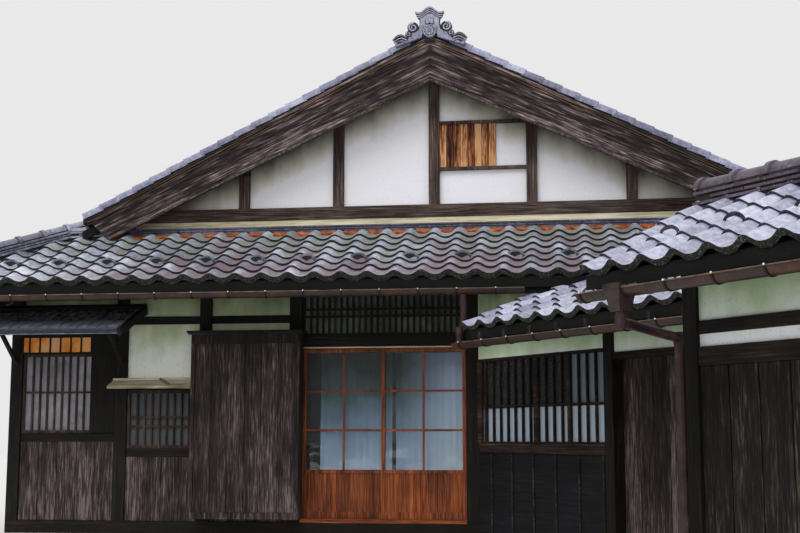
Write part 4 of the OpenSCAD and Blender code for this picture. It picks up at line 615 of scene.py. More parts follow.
def layGuards(target, slope, width, columns, kind=mainKind, shadowed=True):
    bm = bmesh.new()
    radius = snowGuard["radius"]
    ring = bmesh.ops.create_circle(bm, segments=6, radius=snowGuard["tube"])["verts"]
    bmesh.ops.rotate(bm, verts=ring, cent=(0, 0, 0), matrix=Matrix.Rotation(math.pi / 2, 3, "X"))
    bmesh.ops.translate(bm, verts=ring, vec=(radius, 0, 0))
    bmesh.ops.spin(bm, geom=bm.verts[:] + bm.edges[:], cent=(0, 0, 0), axis=(0, -1, 0), angle=math.pi,
                   steps=12)
    bmesh.ops.holes_fill(bm, edges=bm.edges[:])
    bmesh.ops.recalc_face_normals(bm, faces=bm.faces)
    bm.normal_update()
    for face in bm.faces:
        face.material_index = 1 if face.normal.y < -0.3 and face.calc_center_median().z < 0.02 else 0
    bmesh.ops.scale(bm, vec=(1, snowGuard["deep"], 1), verts=bm.verts)
    if shadowed:
        turns = [math.radians(a) for a in range(*snowGuard["shadowFill"])]
        shadowFill = bmesh.new()
        prism(shadowFill, [(radius * math.cos(a), radius * math.sin(a)) for a in turns] + [(0.0, 0.0)],
              *snowGuard["shadowFillY"], 0, slot=1)
        pour(bm, shadowFill)
    bmesh.ops.scale(bm, vec=(1, 1, snowGuard["flat"]), verts=bm.verts)
    bmesh.ops.rotate(bm, verts=bm.verts, cent=(0, 0, 0), matrix=Matrix.Rotation(snowGuard["lean"], 3, "X"))
    bmesh.ops.translate(bm, vec=snowGuard["place"], verts=bm.verts)
    hoop = stamper(bm)
    up = snowGuard["row"] * kind["exposed"] - pantile["overhang"]
    for column in range(*columns, snowGuard["step"]):
        place = Matrix.Translation(((column + kind["trough"] - snowGuard["beside"]) * width, up, 0))
        hoop(target, slope @ place, draw.uniform(-1, 0))


# The main roof, worked out from the slabs that the tiles lie on
mainRoof = {"columns": 40, "skirtRows": 7, "hipRows": 7, "eaveZ": 2.860, "skirtSlope": 0.50,
            "sideSlope": 0.53, "gableY": 0.72, "vergeY": 0.60, "hipX": 3.916, "clear": 0.03}
skirtLow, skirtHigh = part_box("front_roof")
half = skirtHigh.x
front = skirtLow.y
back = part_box("back_roof")[1].y
middleY = (front + back) / 2
tileWidth = 2 * half / mainRoof["columns"]
hipAway = Vector((mainRoof["gableY"] - front, half - mainRoof["hipX"], 0)).normalized()
skirts = {
    "front": slopeFrame((-half, front, mainRoof["eaveZ"]), (1, 0, 0), (0, 1), mainRoof["skirtSlope"]),
    "back": slopeFrame((half, back, mainRoof["eaveZ"]), (-1, 0, 0), (0, -1), mainRoof["skirtSlope"]),
    "left": slopeFrame((-half, back, mainRoof["eaveZ"]), (0, -1, 0), (1, 0), mainRoof["sideSlope"]),
    "right": slopeFrame((half, front, mainRoof["eaveZ"]), (0, 1, 0), (-1, 0), mainRoof["sideSlope"]),
}


# The y of a line at the front gable (sy = -1), or of the same line at the back one (sy = 1)
def atEnd(sy, y):
    return middleY + sy * (middleY - y)


# The vertical cut above a hip, from one of the four corners of the eaves
def hipCut(sx, sy, keepSkirt):
    away = Vector((sx * hipAway.x, -sy * hipAway.y, 0))
    return (sx * half, atEnd(sy, front), 0), (away if keepSkirt else -away)


columns = mainRoof["columns"]
for end, sy in (("front", -1), ("back", 1)):
    bm = bmesh.new()
    top = (0, atEnd(sy, mainRoof["gableY"] - mainRoof["clear"]), 0)
    cuts = [hipCut(-1, sy, True), hipCut(1, sy, True), (top, (0, -sy, 0))]
    layTiles(bm, skirts[end], tileWidth, (0, columns), (0, mainRoof["skirtRows"]), cuts)
    makePiece(end + "Tiles", bm, ["tileFront", "tileEdge", "noseDark"], smooth=40)
    bm = bmesh.new()
    layGuards(bm, skirts[end], tileWidth, (3, columns - 3))
    makePiece(end + "SnowGuards", bm, ["tileFront", "noseDark"], smooth=50)

sideRows = rowsUp(half, mainRoof["sideSlope"], sideKind)
spare = math.floor((mainRoof["vergeY"] - front) / tileWidth)
for side, sx in (("left", -1), ("right", 1)):
    bm = bmesh.new()
    cuts = [hipCut(sx, -1, False), hipCut(sx, 1, False)]
    layTiles(bm, skirts[side], tileWidth, (0, columns), (0, mainRoof["hipRows"]), cuts, sideKind)
    cuts = [((0, atEnd(sy, mainRoof["vergeY"]), 0), (0, sy, 0)) for sy in (-1, 1)]
    cuts += [((sx * 0.02, 0, 0), (-sx, 0, 0))]
    layTiles(bm, skirts[side], tileWidth, (spare, columns - spare), (mainRoof["hipRows"], sideRows), cuts,
             sideKind)
    makePiece(side + "Tiles", bm, ["tileBlue", "tileEdge", "noseDark"], smooth=40)
print("main roof tiled")

# The wing's and the annex's slopes, in the wing's own frame: x along its front, y into it
wing = {"left": 0.97, "end": 6.98, "columns": 21, "eaveY": -0.78, "eaveZ": 2.30, "slope": 0.40,
        "ridgeY": 0.91, "backY": 2.60, "lowY": 0.07, "underEaveY": -0.745, "besideEaveY": -0.925,
        "valleyY": -0.397, "clear": 0.02}
annex = {"left": 4.53, "columns": 9, "eaveY": -2.23, "eaveZ": 2.32, "slope": 0.50, "ridgeY": -1.18,
         "backZ": 2.4535, "clear": 0.01}


def wingSlope(x, y, z, towardsBack, slope):
    across = (1, 0, 0) if towardsBack else (-1, 0, 0)
    return wingPlace @ slopeFrame((x, y, z), across, (0, 1 if towardsBack else -1), slope)


def wingCut(x, y, away):
    return wingPlace @ Vector((x, y, 0)), wingPlace.to_3x3() @ Vector((away[0], away[1], 0))


wingWidth = (wing["end"] - wing["left"]) / wing["columns"]
annexWidth = (wing["end"] - annex["left"]) / annex["columns"]
lowRows = rowsUp(wing["lowY"] - wing["eaveY"], wing["slope"], wingKind)
wingRows = rowsUp(wing["ridgeY"] - wing["eaveY"], wing["slope"], wingKind)
annexRows = rowsUp(annex["ridgeY"] - annex["eaveY"], annex["slope"], annexKind)
underEave = (Vector((0, wing["underEaveY"], 0)), Vector((0, 1, 0)))
besideEave = (Vector((0, wing["besideEaveY"], 0)), Vector((0, 1, 0)))
beforeAnnex = wingCut(annex["left"] - annex["clear"], 0, (1, 0))
besideAnnex = wingCut(annex["left"] + annex["clear"], 0, (-1, 0))
valley = wingCut(0, wing["valleyY"], (0, -1))
ridge = wingCut(0, wing["ridgeY"] - wing["clear"], (0, 1))
backRidge = wingCut(0, wing["ridgeY"] + wing["clear"], (0, -1))
wingFront = wingSlope(wing["left"], wing["eaveY"], wing["eaveZ"], True, wing["slope"])
wingBack = wingSlope(wing["end"], wing["backY"], wing["eaveZ"], False, wing["slope"])

bm = bmesh.new()
for slope, columns, rows, cuts in (
        (wingFront, (0, 14), (0, lowRows), [underEave, beforeAnnex]),
        (wingFront, (0, 14), (lowRows, wingRows), [besideEave, beforeAnnex, ridge]),
        (wingFront, (12, wing["columns"]), (1, wingRows), [besideAnnex, valley, ridge]),
        (wingBack, (0, wing["columns"]), (0, wingRows), [besideEave, backRidge])):
    layTiles(bm, slope, wingWidth, columns, rows, cuts, wingKind)
makePiece("wingTiles", bm, ["tileSilver", "tileEdge", "noseViolet"], smooth=40)

annexFront = wingSlope(annex["left"], annex["eaveY"], annex["eaveZ"], True, annex["slope"])
annexBack = wingSlope(wing["end"], wing["valleyY"], annex["backZ"], False, annex["slope"])
bm = bmesh.new()
for slope, rows, way, kind in ((annexFront, (0, annexRows), 1, annexKind), (annexBack, (1, 5), -1, wingKind)):
    cuts = [wingCut(0, annex["ridgeY"], (0, way))]
    layTiles(bm, slope, annexWidth, (0, annex["columns"]), rows, cuts, kind)
makePiece("annexTiles", bm, ["tileSilver", "tileEdge", "noseViolet"], smooth=40)
bm = bmesh.new()
layGuards(bm, annexFront, annexWidth, (1, annex["columns"]), annexKind, False)
layGuards(bm, wingFront, wingWidth, (4, 12), wingKind, False)
makePiece("wingSnowGuards", bm, ["tilePlum", "noseDark"], smooth=50)
print("wing and annex tiled")


# Ridges. Courses of thin flat tiles in mortar under a round cap; every cap tile ends in a raised collar.
ridgeTile = {"length": 0.30, "droop": 0.010, "bend": 0.03, "thick": 0.018, "gap": 0.004, "play": 0.003,
             "lift": 0.012, "mortarIn": 0.026, "tones": 0.5}
ridgeCap = {"collarEnd": 0.032, "collarFoot": 0.040, "taper": 0.96, "thick": 0.014, "lap": 0.02,
            "play": 0.002, "plugRim": 0.008, "plugDepth": 0.03}
corners = [(sx, sy) for sx in (-1, 1) for sy in (-1, 1)]


# A chain of edges through the given points
def chain(bm, points):
    verts = [bm.verts.new(point) for point in points]
    return verts, [bm.edges.new(pair) for pair in zip(verts, verts[1:])]


def courseTemplate(width, length):
    bm = bmesh.new()
    side = width / 2
    flat = side - ridgeTile["bend"]
    places = [(-side, -ridgeTile["droop"]), (-flat, 0), (flat, 0), (side, -ridgeTile["droop"])]
    edges = chain(bm, [(0, y, z) for y, z in places])[1]
    far = drawnOut(bmesh.ops.extrude_edge_only(bm, edges=edges))
    bmesh.ops.translate(bm, vec=(length, 0, 0), verts=far)
    bmesh.ops.solidify(bm, geom=bm.faces[:], thickness=-ridgeTile["thick"])
    return stamper(bm)


def capTemplate(radius, length, collar):
    bm = bmesh.new()
    outline = [(0, radius + collar), (ridgeCap["collarEnd"], radius + collar),
               (ridgeCap["collarFoot"], radius), (length, radius * ridgeCap["taper"])]
    verts, edges = chain(bm, [(x, -r, 0) for x, r in outline])
    bmesh.ops.spin(bm, geom=verts + edges, cent=(0, 0, 0), axis=(1, 0, 0), angle=-math.pi, steps=10)
    bmesh.ops.solidify(bm, geom=bm.faces[:], thickness=-ridgeCap["thick"])
    return stamper(bm)


# Places x along a line, y to its left and z up from it; the second value is the line's length
def lineFrame(start, end):
    along = (Vector(end) - Vector(start)).normalized()
    side = Vector((0, 0, 1)).cross(along).normalized()
    turned = Matrix((along, side, along.cross(side))).transposed().to_4x4()
    turned.translation = start
    return turned, (Vector(end) - Vector(start)).length


# A ridge from one point to another. The kind says how wide it is, how many courses it has, how far apart they
# are, the radius of its caps, how far the mortar reaches below it and how much the collars stand out.
def layRidge(target, start, end, kind):
    place, length = lineFrame(start, end)
    count = max(1, round(length / ridgeTile["length"]))
    step = length / count
    top = kind["courses"] * kind["pitch"]
    side = kind["width"] / 2 - ridgeTile["mortarIn"]
    bar(target, (0.01, -side, -kind["lower"]), (length - 0.01, side, top + 0.01), 0.002, 0, place, 1)
    for course in range(kind["courses"]):
        odd = course % 2
        flat = courseTemplate(kind["width"] - 0.014 * odd - 0.012 * course, step - ridgeTile["gap"])
        for i in range(count - odd):
            aside = draw.uniform(-ridgeTile["play"], ridgeTile["play"])
            up = course * kind["pitch"] + ridgeTile["lift"]
            lift = Matrix.Translation((i * step + odd * step / 2, aside, up))
            flat(target, place @ lift, draw.gauss(0, ridgeTile["tones"]))
    cap = capTemplate(kind["radius"], step + ridgeCap["lap"], kind["collar"])
    for i in range(count):
        lift = Matrix.Translation((i * step, draw.uniform(-ridgeCap["play"], ridgeCap["play"]), top))
        cap(target, place @ lift, draw.gauss(0, ridgeTile["tones"]))
    plug = bmesh.new()
    bmesh.ops.create_cone(plug, cap_ends=True, segments=20, radius1=kind["radius"] + ridgeCap["plugRim"],
                          radius2=kind["radius"], depth=ridgeCap["plugDepth"])
    bmesh.ops.rotate(plug, verts=plug.verts, cent=(0, 0, 0), matrix=Matrix.Rotation(-math.pi / 2, 3, "Y"))
    stamper(plug)(target, place @ Matrix.Translation((0, 0, top)), 0.2)


mainRidge = {"width": 0.26, "courses": 5, "pitch": 0.032, "radius": 0.068, "lower": 0.04, "collar": 0.012,
             "z": 5.700, "from": 0.37}
bm = bmesh.new()
start, end = ((0, atEnd(sy, mainRidge["from"]), mainRidge["z"]) for sy in (-1, 1))
layRidge(bm, start, end, mainRidge)
makePiece("ridgeTiles", bm, ["tileBlue", "mortar"], replaces=["main_ridge"], smooth=40)

# The four hip ridges, and the short ridge that joins each to the foot of the bargeboard
hip = {"width": 0.20, "courses": 3, "pitch": 0.030, "radius": 0.056, "lower": 0.08, "collar": 0.012,
       "in": 0.05, "over": 0.045, "topZ": 3.62, "share": 0.965, "rise": Vector((0, 0, 0.035))}
joining = {"width": 0.14, "courses": 3, "pitch": 0.026, "radius": 0.036, "lower": 0.06, "collar": 0.012,
           "low": (4.14, 0.45, 3.525), "high": (3.60, 0.53, 3.560)}
bm = bmesh.new()
for sx, sy in corners:
    low = Vector((sx * (half - hip["in"]), atEnd(sy, front + hip["in"]), mainRoof["eaveZ"] + hip["over"]))
    high = Vector((sx * mainRoof["hipX"], atEnd(sy, mainRoof["gableY"]), hip["topZ"]))
    layRidge(bm, low + hip["rise"], low.lerp(high, hip["share"]) + hip["rise"], hip)
    low, high = ((sx * x, atEnd(sy, y), z) for x, y, z in (joining["low"], joining["high"]))
    layRidge(bm, low, high, joining)
makePiece("hipTiles", bm, ["tileHip", "mortar"], replaces=["hip_ridges"], smooth=40)

wingRidge = {"width": 0.22, "courses": 3, "pitch": 0.036, "radius": 0.070, "lower": 0.04, "collar": 0.016,
             "wing": (2.12, wing["ridgeY"], 2.985), "annex": (annex["left"], annex["ridgeY"], 2.860)}
bm = bmesh.new()
for x, y, z in (wingRidge["wing"], wingRidge["annex"]):
    layRidge(bm, wingPlace @ Vector((x, y, z)), wingPlace @ Vector((wing["end"], y, z)), wingRidge)
makePiece("wingRidgeTiles", bm, ["tilePlum", "mortar"], replaces=["wing_ridges"], smooth=40)
print("ridges laid")

# Three straight flat courses where the skirts meet the gable walls, and a bed of red clay in front of them
# between the tile rolls
wallCourse = {"front": 0.520, "z": 3.562, "pitch": 0.027, "thick": 0.021, "half": 3.62, "tile": 0.30,
              "courses": 3, "step": 0.010, "play": 0.003, "mortarIn": 0.040}
clayBed = {"y": (1.395, 1.52), "z": (-0.01, 0.040), "half": 3.60, "cuts": 240, "uneven": (0.010, 0.003)}


# The low and the high y of a layer at one of the gables
def layerY(sy, outer, inner):
    return sorted((atEnd(sy, outer), atEnd(sy, inner)))


def layWallCourses(target, sy):
    tile = wallCourse["tile"]
    count = round(2 * wallCourse["half"] / tile)
    for layer in range(wallCourse["courses"]):
        odd = layer % 2
        low = wallCourse["z"] + layer * wallCourse["pitch"]
        for i in range(count - odd):
            left = i * tile - wallCourse["half"] + 0.5 * tile * odd
            outer = wallCourse["front"] + wallCourse["step"] * layer + draw.uniform(0, wallCourse["play"])
            y0, y1 = layerY(sy, outer, mainRoof["gableY"])
            bar(target, (left + 0.001, y0, low), (left + tile - 0.001, y1, low + wallCourse["thick"]), 0.004,
                draw.gauss(-1.3, 0.35))
    y0, y1 = layerY(sy, wallCourse["front"] + wallCourse["mortarIn"], mainRoof["gableY"])
    high = wallCourse["z"] + wallCourse["courses"] * wallCourse["pitch"] - 0.006
    side = wallCourse["half"] - 0.01
    bar(target, (-side, y0, wallCourse["z"] - 0.03), (side, y1, high), 0.002, 0, None, 1)


bm = bmesh.new()
clay = bmesh.new()
for end, sy in (("front", -1), ("back", 1)):
    layWallCourses(bm, sy)
    bar(clay, (half - clayBed["half"], clayBed["y"][0], clayBed["z"][0]),
        (half + clayBed["half"], clayBed["y"][1], clayBed["z"][1]), 0.004, 0, skirts[end])
longEdges = [e for e in clay.edges if e.calc_length() > 1]
bmesh.ops.subdivide_edges(clay, edges=longEdges, cuts=clayBed["cuts"], use_grid_fill=True)
for vert in clay.verts:
    vert.co.y += draw.uniform(-clayBed["uneven"][0], clayBed["uneven"][0])
    vert.co.z += draw.uniform(-clayBed["uneven"][1], clayBed["uneven"][1])
makePiece("wallCourseTiles", bm, ["tileVerge", "mortar"], replaces=["wall_tiles"], smooth=40)
makePiece("clayBed", clay, ["clay"])


# Verge tiles: each hangs a curved apron over the edge, steps over the one below and has a rounded top
verge = {"exposed": 0.217, "lap": 0.03, "lift": 0.014, "y": 0.350, "top": 5.8005, "slope": 0.509, "run": 3.95,
         "outline": [(0.0, -0.070), (0.0, -0.022), (0.006, -0.008), (0.020, 0.0), (0.10, -0.006),
                     (0.16, 0.010), (0.20, 0.016), (0.25, 0.004), (0.25, -0.03), (0.03, -0.03),
                     (0.02, -0.070)]}


def vergeTemplate(inward):
    bm = bmesh.new()
    face = bm.faces.new([bm.verts.new((0, inward * y, z + verge["lift"])) for y, z in verge["outline"]])
    head = drawnOut(bmesh.ops.extrude_face_region(bm, geom=[face], use_keep_orig=True))
    away = (verge["exposed"] + verge["lap"], inward * 0.005, -verge["lift"])
    bmesh.ops.translate(bm, vec=away, verts=head)
    return stamper(bm)


bm = bmesh.new()
tilt = math.atan(verge["slope"])
rowCount = round(verge["run"] * math.hypot(1, verge["slope"]) / verge["exposed"])
for sx, sy in corners:
    stamp = vergeTemplate(sx * sy)
    turned = Matrix.Rotation(math.pi if sx > 0 else 0, 4, "Z") @ Matrix.Rotation(-tilt, 4, "Y")
    for i in range(rowCount):
        run = verge["run"] - i * verge["exposed"] * math.cos(tilt)
        z = verge["top"] - verge["slope"] * run - 0.002
        place = Matrix.Translation((sx * run, atEnd(sy, verge["y"]), z))
        stamp(bm, place @ turned, draw.gauss(0.2, 0.4))
makePiece("vergeTiles", bm, ["tileVerge"], replaces=["verge_tiles"], smooth=40)


# Strips that follow a rake at all four ends. Each has the height of its line over the ridge, its slope, how
# far out it begins and ends, how far below or above the line it lies, and the y of its faces.
def layStrips(target, strips):
    for sx, sy in corners:
        for slot, (top, slope, span, across, depth) in strips:
            outline = [(sx * x, top - slope * x + across[0]) for x in span]
            outline += [(sx * x, top - slope * x + across[1]) for x in reversed(span)]
            prism(target, outline, atEnd(sy, depth[0]), atEnd(sy, depth[1]), ease=0.0, slot=slot)


# A near-black bed under the verge tiles, in the mortar finish: painted shadow, the dark gap under their
# aprons
vergeShadowBed = (verge["top"], verge["slope"], (0.0, verge["run"] - 0.01), (-0.115, -0.035), (0.366, 0.60))
bm = bmesh.new()
layStrips(bm, [(0, vergeShadowBed)])
makePiece("vergeBedShadows", bm, ["mortar"])

# Painted highlights where the bargeboard's edges catch the light: two pale strips along the moulding, and one
# at its foot
wearAndHighlight = {"upper": (5.7005, 0.509, (0.06, 3.875), (-0.068, -0.062), (0.3395, 0.3515)),
        "middle": (5.7005, 0.509, (0.06, 3.875), (-0.040, -0.035), (0.3305, 0.3425)),
        "foot": (5.1955, bargeSlope, (0.02, 3.59), (0.0, 0.020), (0.3465, 0.3585))}
bm = bmesh.new()
layStrips(bm, [(0, wearAndHighlight["upper"]), (0, wearAndHighlight["middle"]), (1, wearAndHighlight["foot"])])
makePiece("bargeEdges", bm, ["litEdge", "beam"])
print("verges laid")

# The ridge-end tile: a flower boss and a body under a curled cap, with cloud scrolls on the rake. Lengths in
# hundredths of a metre, from the middle of the boss; depths in metres in front of its back. A scroll has its
# middle, radius, turns and first angle; a curl its dip, radius and tone; a band its drop, thickness, reach,
# depth and slot; a leaf its lean, length and half width.
ornament = {
    "z": 5.7375, "back": 0.35, "base": 0.045, "body": 0.042, "petals": 12,
    "foot": [(6, 4), (17, 0.4), (30, -4.6), (41, -8.2), (37.5, -16.5), (9, -7.0)],
    "scrolls": [(18.4, 4.6, 6.3, 1.5, 100), (23.2, -2.4, 3.9, 1.2, 80)],
    "wave": [(22.5, -4.6), (25.4, -5.4), (28.2, -3.6), (31.5, -2.2), (35.0, -2.7), (38.2, -4.8), (41.4, -8.4),
             (38.8, -9.3), (37.0, -11.2), (35.6, -14.0), (24, -9.0)],
    "curls": [(-1.5, 0.010, -0.6), (-4.6, 0.008, 1.0), (-7.6, 0.008, 0.2)],
    "curl": [(40.2, -6.9), (37.0, -4.6), (34.0, -3.0), (31.0, -2.4), (28.4, -3.4), (25.6, -5.0)],
    "bodyOutline": [(-11.9, 17.8), (-6, 20.5), (6, 20.5), (11.9, 17.8), (10.7, 13), (10.4, 9), (11.2, 5),
                    (12.6, 1.6), (12.6, -3.0), (-12.6, -3.0), (-12.6, 1.6), (-11.2, 5), (-10.4, 9),
                    (-10.7, 13)],
    "bands": [(0, 2.2, 15.8, 0.066, 0), (2.0, 0.9, 15.0, 0.050, 1), (2.7, 1.7, 14.6, 0.060, 0),
              (4.2, 0.8, 13.8, 0.046, 1), (4.8, 1.7, 13.4, 0.054, 0)],
    "leaves": [(0, 7.0, 2.2), (-42, 6.2, 2.0), (42, 6.2, 2.0), (-82, 5.0, 1.6), (82, 5.0, 1.6)],
    "leafFoot": 9.0, "boss": (7.2, 5.7, 1.2),
    "petal": [(1.5, 0.25), (3.4, 0.85), (4.9, 0.85), (5.5, 0), (4.9, -0.85), (3.4, -0.85), (1.5, -0.25)],
}
unit = 0.01


def inMetres(outline):
    return [(x * unit, z * unit) for x, z in outline]


def capLine(x, drop):
    return 24.4 - drop + (3.3 - 0.05 * drop) * math.cos(math.radians(15 * x))


def circle(x, z, radius, count):
    turns = [2 * math.pi * i / count for i in range(count)]
    return [(x + radius * math.cos(turn), z + radius * math.sin(turn)) for turn in turns]


def turnedOutline(outline, turn, rise=0.0):
    return [(x * math.cos(turn) - z * math.sin(turn), rise + x * math.sin(turn) + z * math.cos(turn))
            for x, z in outline]


# One side of the spiral on a cloud scroll, winding in from the given angle
def spiralPoints(x, z, radius, turns, start, side, y):
    points = []
    for i in range(int(turns * 18) + 1):
        share = i / (turns * 18)
        turn = math.radians(start - share * turns * 360)
        reach = radius * (0.78 - 0.60 * share)
        points.append((side * (x + reach * math.cos(turn)) * unit, y, (z + reach * math.sin(turn)) * unit))
    return points


# The rake with its cloud scrolls, on one side; the scrolls and the wave lie on dark grounds of painted shade
def carveRake(target, place, side):
    base = -ornament["base"]
    prism(target, inMetres([(side * x, z) for x, z in ornament["foot"]]), base, 0, 0.005, 0.2, place)
    for x, z, radius, turns, start in ornament["scrolls"]:
        disc = [(side * x, z) for x, z in circle(x, z, radius, 20)]
        prism(target, inMetres(disc), base - 0.004, 0, 0.006, 0, place, 1)
        line = spiralPoints(x, z, radius, turns, start, side, base - 0.006)
        rod(target, line, 0.16 * radius * unit, 0.10 * radius * unit, 8, 1.0, place)
    wave = [(side * x, z) for x, z in ornament["wave"]]
    prism(target, inMetres(wave), base - 0.003, 0, 0.004, 0, place, 1)
    for dip, radius, tone in ornament["curls"]:
        points = ornament["curl"][1 if -dip > 5 else 0:]
        line = [(side * x * unit, base - 0.004, (z + dip) * unit) for x, z in points]
        rod(target, line, 0.4 * radius, radius, 8, tone, place)


# The body over a slightly larger dark outline of painted shadow, and the curled cap over it in bands; bands
# in the second slot are dark grooves of painted shade
def carveBody(target, place):
    shadow = [(1.07 * x, 1.03 * z - 0.2) for x, z in ornament["bodyOutline"]]
    prism(target, inMetres(shadow), -ornament["body"] + 0.006, 0, 0.002, 0, place, 1)
    prism(target, inMetres(ornament["bodyOutline"]), -ornament["body"], 0, 0.006, 0.6, place)
    for drop, thick, reach, depth, slot in ornament["bands"]:
        xs = [reach * i / 12 for i in range(-12, 13)]
        band = [(x, capLine(x, drop + thick)) for x in xs] + [(x, capLine(x, drop)) for x in reversed(xs)]
        prism(target, inMetres(band), -depth, 0, 0.003 if thick > 1 else 0, 0.4, place, slot)


# A fan of leaves on the body, each over a dark outline of painted shadow
def carveLeaves(target, place):
    for lean, length, wide in ornament["leaves"]:
        leaf = [(0, 0), (wide, 0.45 * length), (0.4 * wide, 0.8 * length), (0, length),
                (-0.4 * wide, 0.8 * length), (-wide, 0.45 * length)]
        leaf = turnedOutline(leaf, -math.radians(lean), ornament["leafFoot"])
        middle = [sum(point[k] for point in leaf) / len(leaf) for k in (0, 1)]
        shadow = [(middle[0] + 1.28 * (x - middle[0]), middle[1] + 1.18 * (z - middle[1])) for x, z in leaf]
        prism(target, inMetres(shadow), -ornament["body"] - 0.006, -0.01, 0.001, 0, place, 1)
        prism(target, inMetres(leaf), -ornament["body"] - 0.016, -0.01, 0.005, 0.9, place)


# The flower boss: a raised ring, a dark ground of painted shade, petals and an eye
def carveBoss(target, place):
    ring, ground, eye = (inMetres(circle(0, 0, radius, 28)) for radius in ornament["boss"])
    prism(target, ring, -0.066, 0, 0.006, 0.8, place)
    prism(target, ground, -0.068, 0, 0.002, 0, place, 1)
    for i in range(ornament["petals"]):
        petal = turnedOutline(ornament["petal"], 2 * math.pi * i / ornament["petals"])
        prism(target, inMetres(petal), -0.074, -0.05, 0.002, 0.6, place)
    prism(target, eye, -0.076, -0.05, 0.002, 0.6, place)


bm = bmesh.new()
for sy, turn in ((-1, 0), (1, math.pi)):
    place = Matrix.Translation((0, atEnd(sy, ornament["back"]), ornament["z"]))
    place = place @ Matrix.Rotation(turn, 4, "Z")
    for side in (-1, 1):
        carveRake(bm, place, side)
    carveBody(bm, place)
    carveLeaves(bm, place)
    carveBoss(bm, place)
makePiece("ridgeEndTiles", bm, ["tileCarved", "noseDark"], replaces=["ridge_ornaments"],
          smooth=35)
print("ornaments carved")

# Gable: the beam's face, a pale apron board under it, and the small shutter made of separate boards
gable = {"half": 3.44, "apronZ": (3.640, 3.732), "apronY": (0.700, 0.722), "beamZ": (3.730, 3.872),
         "beamY": (0.688, 0.722), "boards": 8, "joint": 0.004, "boardThick": 0.014, "behind": 0.012}
bm = bmesh.new()
for slot, part in enumerate(("apron", "beam")):
    for sy in (-1, 1):
        y0, y1 = layerY(sy, *gable[part + "Y"])
        low, high = gable[part + "Z"]
        bar(bm, (-gable["half"], y0, low), (gable["half"], y1, high), 0.005, 0, None, slot)
makePiece("gableApron", bm, ["tan", "beam"])
bm = bmesh.new()
low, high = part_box("gable_shutter")
bar(bm, (low[0], low[1] + gable["behind"], low[2]), high, 0.001, -3.0)
step = (high[0] - low[0]) / gable["boards"]
for i in range(gable["boards"]):
    left = low[0] + i * step
    right = left + step - gable["joint"] / 2
    bar(bm, (left + gable["joint"] / 2, low[1] + draw.uniform(0, 0.003), low[2]),
        (right, low[1] + gable["boardThick"], high[2]), 0.002, draw.uniform(-0.9, 0.9))
makePiece("gableShutterBoards", bm, ["honey"], replaces=["gable_shutter"])

# Shutter box: upright boards with open joints between a head, a foot and two corner posts, under a thin cap
box = {"x": (-2.47, -1.31), "y": -0.21, "z": (0.47, 2.39), "head": 0.115, "foot": 0.07, "corner": 0.045,
       "boards": 6, "boardY": (0.004, 0.026), "cap": 0.022, "capOver": 0.045}
bm = bmesh.new()
x0, x1 = box["x"]
z0, z1 = box["z"]
face = box["y"]
bar(bm, (x0 + 0.01, face + 0.03, z0), (x1 - 0.01, 0, z1), 0.002, -1.5)
for x in (x0, x1 - box["corner"]):
    bar(bm, (x, face, z0), (x + box["corner"], -0.002, z1), 0.004, -0.4)
bar(bm, (x0 + 0.002, face - 0.006, z1 - box["head"]), (x1 - 0.002, face + 0.04, z1), 0.004, -1.2)
bar(bm, (x0 + 0.002, face - 0.004, z0), (x1 - 0.002, face + 0.04, z0 + box["foot"]), 0.004, -0.4)
bar(bm, (x0 - 0.04, face - box["capOver"], z1), (x1 + 0.04, 0.0, z1 + box["cap"]), 0.003, -1.6)
bar(bm, (x0 - 0.03, face - 0.030, z1 - 0.018), (x1 + 0.03, face, z1), 0.003, -0.8)
step = (x1 - x0 - 2 * box["corner"]) / box["boards"]
for i in range(box["boards"]):
    left = x0 + box["corner"] + i * step
    near = face + box["boardY"][0] + draw.uniform(0, 0.004)
    bar(bm, (left + 0.002, near, z0 + box["foot"]),
        (left + step - 0.001, face + box["boardY"][1], z1 - box["head"]), 0.003, draw.uniform(-0.5, 0.7))
makePiece("shutterBoards", bm, ["board"], replaces=["shutter_box"])

# Canopy over the left window: dark standing-seam sheet on boards, with a fascia, a beam on arms and braces
canopy = {"x": (-4.67, -3.06), "back": 2.69, "drop": 0.295, "reach": 0.78, "thick": 0.020, "pitch": 0.105,
          "seam": (0.014, 0.012), "arms": (-4.485, -3.30), "arm": ((-0.66, 2.375), (0.0, 2.560), 0.025),
          "brace": ((-0.44, 2.42), (-0.01, 2.10), 0.02), "beamY": (-0.68, -0.62), "beamZ": (2.355, 2.405)}
bm = bmesh.new()
x0, x1 = canopy["x"]
wide = x1 - x0
fall = slopeFrame((x0, -canopy["reach"], canopy["back"] - canopy["drop"]), (1, 0, 0), (0, 1),
                  canopy["drop"] / canopy["reach"])
long = math.hypot(canopy["reach"], canopy["drop"])
bar(bm, (0, 0, -canopy["thick"]), (wide, long, 0), 0.003, 0, fall)
for i in range(round(wide / canopy["pitch"]) + 1):
    x = i * canopy["pitch"]
    if x < wide - 0.02:
        bar(bm, (x, 0.004, 0), (x + canopy["seam"][0], long, canopy["seam"][1]), 0.003, 0, fall)
